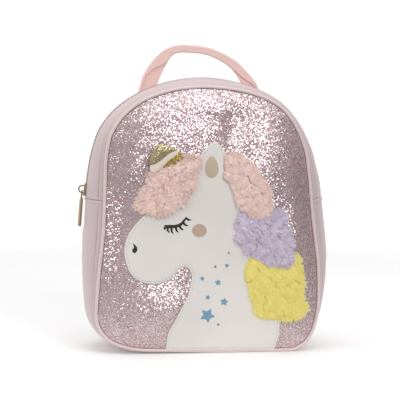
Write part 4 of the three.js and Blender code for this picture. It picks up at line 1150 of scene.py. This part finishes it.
def grow_hair(name, outline, lean, base, ruffle, fringe, random, kept_clear):
    roots = scatter(outline, 1 / hair_per_area, random)
    for shape in kept_clear:
        roots = roots[edge_distance(*roots.T, shape) < 0.0002]
    count = len(roots)
    tufts, wisps = scatter(outline, tuft_area, random), scatter(outline, wisp_area, random)
    tuft, wisp = nearest_of(roots, tufts), nearest_of(roots, wisps)
    inside = edge_distance(*roots.T, outline)
    step = 0.0005
    outward = -np.stack([
        edge_distance(roots[:, 0] + step, roots[:, 1], outline) - inside,
        edge_distance(roots[:, 0], roots[:, 1] + step, outline) - inside], axis=1) / step
    turn = np.radians(lean + random.normal(0, 22, len(tufts))[tuft] + random.normal(0, 8, count)
                      + ruffle * random.normal(0, 15, len(wisps))[wisp])
    at_edge = np.exp(-(inside / 0.005) ** 2)[:, None]
    comb = np.stack([np.sin(turn), -np.cos(turn)], axis=1) * (1 - 0.7 * at_edge)
    comb = unit(comb + 0.95 * at_edge * outward)
    length = hair_length * random.uniform(0.75, 1.1, count)
    reach = (ruffle * random.uniform(-0.0014, 0.0022, len(wisps))[wisp]
             + 0.0034 * fringe * random.uniform(0, 1, count) ** 2)
    outgoing = np.clip((comb * outward).sum(axis=1), 0.15, None)
    run = np.clip((inside + reach) / outgoing, 0.001, length * 0.72)
    from_tuft = np.linalg.norm(roots - tufts[tuft], axis=1)
    mound = 0.9 + 0.5 * ruffle * (np.exp(-(from_tuft / 0.0034) ** 2) - 0.48)
    rise = length * random.uniform(0.34, 0.5, count) * mound * (1 - 0.5 * at_edge[:, 0])
    pull = 0.15 * (tufts[tuft] - roots) + 0.8 * ruffle * (wisps[wisp] - roots)
    ground = base + 0.0014 - 0.0010 * at_edge[:, 0]

    def station(share):
        flat = roots + comb * (run * share)[:, None] + pull * share
        height = ground + rise * np.sin(share * math.pi / 2 * 1.15)
        y = front_y - front_relief(flat[:, 0], flat[:, 1]) - height
        return np.stack([flat[:, 0], y, flat[:, 1]], axis=1)

    base_point, mid_point, tip_point = station(0), station(0.55), station(1)
    tilt = random.normal(0, 0.6 * ruffle, count)
    side = hair_half_width * unit(np.stack([comb[:, 1], np.sin(tilt), -comb[:, 0]], axis=1))
    points = np.stack([base_point - side, base_point + side, mid_point + 0.9 * side,
                       mid_point - 0.9 * side, tip_point], axis=1).reshape(-1, 3)
    start = 5 * np.arange(count)
    quads = np.stack([start, start + 1, start + 2, start + 3], axis=1)
    tips = np.stack([start + 3, start + 2, start + 4], axis=1)
    mesh = bpy.data.meshes.new(name)
    mesh.from_pydata(points, [], quads.tolist() + tips.tolist())
    hair = bpy.data.objects.new(name, mesh)
    bpy.context.scene.collection.objects.link(hair)
    shade = 0.62 + ruffle * (
        random.normal(0, 0.1, count) + random.normal(0, 0.08, len(tufts))[tuft]
        + random.normal(0, 0.16, len(wisps))[wisp])
    # Roots sit far below the hair's own tone, painted shade deep in the pile, and tips a little
    # above it, painted light; the random part is real tone.
    tone = np.stack([shade - 0.6, shade - 0.6, shade, shade, shade + 0.2], axis=1)
    edge = np.clip(1 - inside / 0.004, 0, 1) * random.uniform(0, 0.9, count)
    write_levels(hair, tone=tone.ravel(), fade=np.repeat(edge, 5))
    return hair


for number, (name, row) in enumerate(fur_patches.items()):
    rows, lean, base, ruffle, fringe, material, slot = row
    outline = smooth_outline([rows + rows[:1]], 0.0015)
    backing = lay_backing(f"{name}_backing", outline, base)
    finish_piece(backing, material, slot, name)
    hair = grow_hair(f"{name}_pile", outline, lean, base, ruffle, fringe,
                     np.random.default_rng(20 + number), [horn_lip, horn_flap, horn_root])
    finish_piece(hair, material, slot, smooth=80)

# %% [markdown]
# ## Handle, straps and webbing
# Webbing is a flat woven band. On the handle it lies flat at its feet and is folded lengthwise
# where the hand holds it, so its section changes from a strip to a narrow trough. It is laid
# out station by station along a smooth line: each station is a closed outline of the band's
# section, and neighbours are joined.

# %% Bands along a line
def smooth_line(points, per=24):
    points = np.array(points, float)
    ends = [2 * points[0] - points[1]], [2 * points[-1] - points[-2]]
    padded = np.concatenate([ends[0], points, ends[1]])
    line, row = [], []
    for i in range(1, len(padded) - 2):
        p0, p1, p2, p3 = padded[i - 1:i + 3]
        d0, d1, d2 = (max(np.linalg.norm(b - a) ** 0.5, 1e-4)
                      for a, b in ((p0, p1), (p1, p2), (p2, p3)))
        t1 = ((p1 - p0) / d0 - (p2 - p0) / (d0 + d1) + (p2 - p1) / d1) * d1
        t2 = ((p2 - p1) / d1 - (p3 - p1) / (d1 + d2) + (p3 - p2) / d2) * d1
        t = np.linspace(0, 1, per, endpoint=False)[:, None]
        line.append(p1 + t1 * t + (-3 * p1 + 3 * p2 - 2 * t1 - t2) * t ** 2
                    + (2 * p1 - 2 * p2 + t1 + t2) * t ** 3)
        row.append(i - 1 + t[:, 0])
    return np.concatenate(line + [points[-1:]]), np.concatenate(row + [[len(points) - 1]])


def stations(points, count, columns, side_of):
    line, row = smooth_line(points)
    gone = length_along(line)
    at = np.linspace(0, gone[-1], count)
    centre = np.stack(read_columns(at, gone, line), axis=1)
    run = unit(np.gradient(centre, axis=0))
    side = np.empty_like(run)
    last = np.array((1.0, 0, 0))
    for i, direction in enumerate(run):
        last = side_of(direction, last)
        side[i] = last
    front = np.cross(side, run)
    where = np.interp(at, gone, row)
    values = [np.interp(where, np.arange(len(column)), column) for column in columns]
    return {"centre": centre, "side": side, "front": front, "gone": at}, values


def no_twist(run, last):
    return unit(last - run * (last @ run))


def crosswise(run, last):
    return no_twist(run, np.array((1.0, 0, 0)))


def level_with_back(run, last):
    return unit(np.cross(run, (0, 1, 0)))


def loft_band(name, frames, sections):
    count, size = sections.shape[:2]
    around = np.concatenate([sections, sections[:, :1]], axis=1)
    perimeter = np.linalg.norm(np.diff(around, axis=1), axis=2).mean(axis=0)
    across = np.concatenate([[0], np.cumsum(perimeter)])
    points = (frames["centre"][:, None] + around[..., :1] * frames["side"][:, None]
              + around[..., 1:] * frames["front"][:, None])

    def place(u, v):
        column = np.rint((u + 1) / 2 * (count - 1)).astype(int)
        row = np.rint((v + 1) / 2 * size).astype(int)
        return points[column, row], frames["gone"][column], across[row]

    piece = grid_sheet(name, count - 1, size, place)
    edit(piece, lambda: bpy.ops.mesh.remove_doubles(threshold=1e-6))
    deselect()
    bpy.context.view_layer.objects.active = piece
    bpy.ops.object.mode_set(mode="EDIT")
    bpy.ops.mesh.select_mode(type="EDGE")
    bpy.ops.mesh.select_all(action="DESELECT")
    bpy.ops.mesh.select_non_manifold()
    bpy.ops.mesh.fill_holes(sides=0)
    bpy.ops.mesh.select_all(action="SELECT")
    bpy.ops.mesh.normals_make_consistent(inside=False)
    bpy.ops.mesh.select_mode(type="VERT")
    bpy.ops.object.mode_set(mode="OBJECT")
    return piece


def wall_section(middle, thickness):
    run = np.gradient(middle, axis=0)
    normal = unit(np.stack([-run[:, 1], run[:, 0]], axis=1))
    half = thickness / 2
    return np.concatenate([middle + half * normal, (middle - half * normal)[::-1]])


# %% Handle
handle_span, handle_rise = 0.102, 0.050
visible_width, layer_thickness, fold_radius, least_flap = 0.0165, 0.0011, 0.00065, 0.0012
handle_rows = [  # across, up, width, share of the width that the folded edge covers
    (-1.038, -0.294, 1.02, 0), (-1.031, 0.010, 1.02, 0), (-0.987, 0.192, 0.99, 0),
    (-0.931, 0.374, 0.98, 0.05), (-0.847, 0.545, 0.90, 0.3), (-0.737, 0.717, 0.80, 0.8),
    (-0.617, 0.863, 0.59, 1), (-0.487, 0.948, 0.46, 1), (-0.348, 0.981, 0.43, 1),
    (-0.148, 0.977, 0.43, 1), (0.053, 0.962, 0.43, 1), (0.253, 0.916, 0.43, 1),
    (0.454, 0.831, 0.45, 1), (0.615, 0.741, 0.47, 1), (0.756, 0.633, 0.53, 1),
    (0.878, 0.487, 0.60, 0.75), (0.979, 0.345, 0.74, 0.45), (1.060, 0.193, 0.87, 0.1),
    (1.111, 0.009, 0.93, 0), (1.122, -0.297, 0.96, 0),
]
crest = seam_share > 0.6
handle_base = float(np.interp(handle_span / 2, seam_points[crest, 0][::-1],
                              seam_points[crest, 1][::-1]))
lay_y = back_y + sewn_gap + fold_radius + layer_thickness / 2
handle_points = [(across * handle_span / 2, lay_y, handle_base + up * handle_rise)
                 for across, up, wide, flap in handle_rows]
handle_frames, (widths, flaps) = stations(
    handle_points, 150, [[row[column] for row in handle_rows] for column in (2, 3)], no_twist)


def folded_section(wide, flap):
    wide = wide * visible_width
    flap = max(least_flap, flap * (wide - 0.0012))
    back = np.stack([np.linspace(wide / 2, fold_radius - wide / 2, 14),
                     np.full(14, -fold_radius)], axis=1)
    turn = np.radians(np.linspace(-90, -270, 8)[1:-1])
    bent = np.stack([fold_radius - wide / 2 + fold_radius * np.cos(turn),
                     fold_radius * np.sin(turn)], axis=1)
    front = np.stack([np.linspace(fold_radius - wide / 2, fold_radius - wide / 2 + flap, 9),
                      fold_radius + 0.0002 * np.linspace(0, 1, 9)], axis=1)
    return wall_section(np.concatenate([back, bent, front]), layer_thickness)


handle = loft_band("handle_webbing", handle_frames,
                   np.stack([folded_section(*row) for row in zip(widths, flaps)]))
finish_piece(handle, peach_webbing, "peach_webbing", "handle")

# %% [markdown]
# ## Shoulder straps
# The photograph hides nearly all of them, so they are the usual kind: foam between two layers
# of the side leather, thinner at the bound edges, sewn flat at the top and ending on a narrow
# webbing that runs through a plastic adjuster to the lower corner.

# %% Padded straps
strap_width, strap_thickness = 0.030, 0.008
strap_stand_off, strap_spread, strap_top_apart = 0.027, seam_width - 0.004, 0.044
strap_rows = [  # apart, back, up, thickness
    (0, 0, 0.82, 0.5), (0, 0, 0.86, 0.5), (0, 0.03, 0.905, 0.5), (0.03, 0.26, 0.962, 0.8),
    (0.13, 0.72, 0.95, 1), (0.3, 0.97, 0.86, 1), (0.55, 1, 0.72, 1), (0.8, 0.86, 0.56, 1),
    (0.97, 0.66, 0.43, 0.9), (0.99, 0.52, 0.35, 0.6),
]


def strap_points(side):
    apart = [strap_top_apart + (strap_spread - strap_top_apart) * row[0] for row in strap_rows]
    return [(side * wide / 2,
             back_y + sewn_gap + row[3] * strap_thickness / 2 + row[1] * strap_stand_off,
             seam_bottom + row[2] * seam_height) for wide, row in zip(apart, strap_rows)]


def padded_section(thick):
    share = np.linspace(-1, 1, 21)
    pad = np.clip(1 - (np.abs(share) / 0.82) ** 4, 0, 1) ** 0.5
    half = np.maximum(0.0011, thick / 2 * (0.25 + 0.75 * pad)) * np.where(
        np.abs(share) > 0.97, 0.6, 1)
    across = share * strap_width / 2
    return np.concatenate([np.stack([across, half], axis=1),
                           np.stack([across, -half], axis=1)[::-1]])


for name, side in (("right", 1), ("left", -1)):
    frames, (thick,) = stations(strap_points(side), 110, [[row[3] for row in strap_rows]],
                                crosswise)
    strap = loft_band(f"shoulder_strap_{name}_pad", frames,
                      np.stack([padded_section(level * strap_thickness) for level in thick]))
    finish_piece(strap, pink_leather, "pink_leather", f"shoulder_strap_{name}")

# %% Lower webbing
web_width, web_thickness, web_inset = 0.020, 0.0016, 0.014
adjuster_bar, adjuster_pitch, thread_slack, thread_reach = 0.0024, 0.008, 0.0011, 0.012
adjuster_place = 2 * adjuster_pitch
webbing_rows = [  # share of the way to the foot, back, up
    (0.6, 0.11, 0.45), (0.8, 0.015, 0.21), (1, 0, 0.03), (1.07, 0, -0.16)]


def webbing_points(side):
    line, row = smooth_line(strap_points(side))
    end = line[-1]
    run = (line[-1] - line[-2]) / np.linalg.norm(line[-1] - line[-2])
    straight_end = end + run * (adjuster_place + thread_reach + adjuster_bar)
    foot_x, foot_z = on_pattern(0.25, -web_inset)
    flat_y = back_y + sewn_gap + web_thickness / 2
    points = [end + run * sewn_gap, end + run * adjuster_place,
              end + run * (adjuster_place + adjuster_pitch + adjuster_bar), straight_end]
    for to_foot, back, up in webbing_rows:
        points.append((straight_end[0] + (side * foot_x - straight_end[0]) * to_foot,
                       flat_y + back * strap_stand_off, foot_z + up * corner_up))
    return points


for name, side in (("right", 1), ("left", -1)):
    frames, _ = stations(webbing_points(side), 150, [[0] * 8], level_with_back)
    away = frames["gone"] - adjuster_place
    reach = (adjuster_bar + web_thickness) / 2 + thread_slack
    lift = np.where(np.abs(away) < thread_reach,
                    reach * np.cos(math.pi * away / adjuster_pitch), 0)
    middle = np.linspace(-1, 1, 9) * web_width / 2
    sections = np.stack([wall_section(np.stack([middle, 0 * middle + level], axis=1),
                                      web_thickness - 0.0002) for level in lift])
    web = loft_band(f"strap_webbing_{name}_cloth", frames, sections)
    finish_piece(web, peach_webbing, "peach_webbing", f"strap_webbing_{name}")


# %% [markdown]
# ## Stitches
# Lockstitches sit a little below the face of the leather in their own groove, each a short
# rounded bar of thread. One bar of few faces is copied along every sewn line, laid square to
# the surface, and each line becomes one mesh.

# %% Lines of stitches
stitch_bar, stitch_faces = rod_pattern([
    (-0.0012, 0, -0.0003, 0.00012, 0.00012), (-0.0008, 0, 0, 0.00026, 0.00022),
    (0.0008, 0, 0, 0.00026, 0.00022), (0.0012, 0, -0.0003, 0.00012, 0.00012)])


def sew(name, line, out, material, slot, pitch=0.0036):
    out = np.broadcast_to(np.asarray(out, float), line.shape)
    gone = length_along(line)
    at = np.arange(pitch / 2, gone[-1], pitch)
    spot, away, ahead = (np.stack(read_columns(where, gone, rows), axis=1)
                         for where, rows in ((at, line), (at, out), (at + 0.0005, line)))
    run = ahead - spot
    frames = []
    for origin, along, up in zip(spot, run, away):
        along = along / max(np.linalg.norm(along), 1e-9)
        across = np.cross(up, along)
        across = across / max(np.linalg.norm(across), 1e-9)
        frames.append((origin, np.stack([along, across, np.cross(along, across)])))
    finish_piece(joined_copies(name, stitch_bar, stitch_faces, frames), material, slot)


def round_the_seam(from_place, to_place, y, offset_of):
    place = np.linspace(from_place, to_place, 500)
    x, z = on_loop(place, offset_of(place))
    out_x, out_z = (np.array(on_pattern(place, 0.001)) - np.array(on_pattern(place, 0))) * 1000
    return (np.stack([x, np.full(len(x), y), z], axis=1),
            np.stack([out_x, 0 * out_x, out_z], axis=1))


for name, y in (("front", gusset_front + groove_inset), ("back", gusset_back - groove_inset)):
    line, out = round_the_seam(0, 2, y, lambda place: gusset_offset(place, y) - 0.0006)
    sew(f"gusset_stitches_{name}", line, out, pink_thread, "pink_leather")
for name, side in (("front", -1), ("back", 1)):
    y = zip_y + side * (tape_edge + 0.0024)
    line, out = round_the_seam(zip_end + 0.01, 2 - zip_end - 0.01, y,
                               lambda place: gusset_offset(place, y) + 0.0001)
    sew(f"zip_stitches_{name}", line, out, pink_thread, "pink_leather")
x, z = on_loop(np.linspace(0, 2, 500), -0.014)
sew("back_panel_stitches", np.stack([x, np.full(500, back_y - 0.0018), z], axis=1), (0, 1, 0),
    pink_thread, "pink_leather")

edge = even_outline(head_outline, 0.001)
edge_run = np.roll(edge, -2, axis=0) - np.roll(edge, 2, axis=0)
edge_in = unit(np.stack([-edge_run[:, 1], edge_run[:, 0]], axis=1))
if edge_distance(*(edge + 0.001 * edge_in).T, edge).mean() < 0:
    edge_in = -edge_in
line = edge + 0.0022 * edge_in
line = line[edge_distance(*line.T, edge) > 0.0019]
y = front_y - front_relief(*line.T) - head_top - 0.00005
sew("unicorn_head_stitches", np.stack([line[:, 0], y, line[:, 1]], axis=1), (0, -1, 0),
    cream_thread, "cream_leather", 0.0038)
for number, start in enumerate((handle_frames["centre"][0], handle_frames["centre"][-1])):
    corner = np.array([(-1, 0), (1, 0), (1, 1), (-1, 1), (-1, 0), (1, 1)])
    line = start + np.stack([0.006 * corner[:, 0], np.full(6, 0.0013), 0.002 + 0.009 * corner[:, 1]],
                            axis=1)
    sew(f"handle_stitches_{number + 1}", line, (0, 1, 0), pink_thread, "peach_webbing", 0.003)

# %% [markdown]
# ## Hardware
# The adjusters are moulded plastic and the slider and its pull are cast and polished metal. Their
# solids have the right shape with sharp edges, so each is copied, its loose triangles are
# merged, flat faces are joined and every edge is rounded with a bevel.

# %% Rounded copies of the hard pieces
def rounded_copy(node, name, width):
    deselect()
    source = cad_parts[node]
    piece = bpy.data.objects.new(name, source.data.copy())
    piece.data.name = name
    bpy.context.scene.collection.objects.link(piece)

    def clean():
        bpy.ops.mesh.remove_doubles(threshold=2e-6)
        bpy.ops.mesh.dissolve_limited(angle_limit=math.radians(2))

    edit(piece, clean)
    apply_modifier(piece, "BEVEL", width=width, segments=3, limit_method="ANGLE",
                   angle_limit=math.radians(30), harden_normals=False)
    return piece


for name in ("right", "left"):
    adjuster = rounded_copy(f"strap_adjuster_{name}", f"strap_adjuster_{name}_plastic", 0.0006)
    finish_piece(adjuster, pink_plastic, "pink_plastic", f"strap_adjuster_{name}")
for node, width, body in (("zip_slider", 0.0003, "bag"), ("zip_pull", 0.00035, "pull")):
    metal = rounded_copy(node, f"{node}_metal", width)
    finish_piece(metal, light_gold, "light_gold", node, body=body)
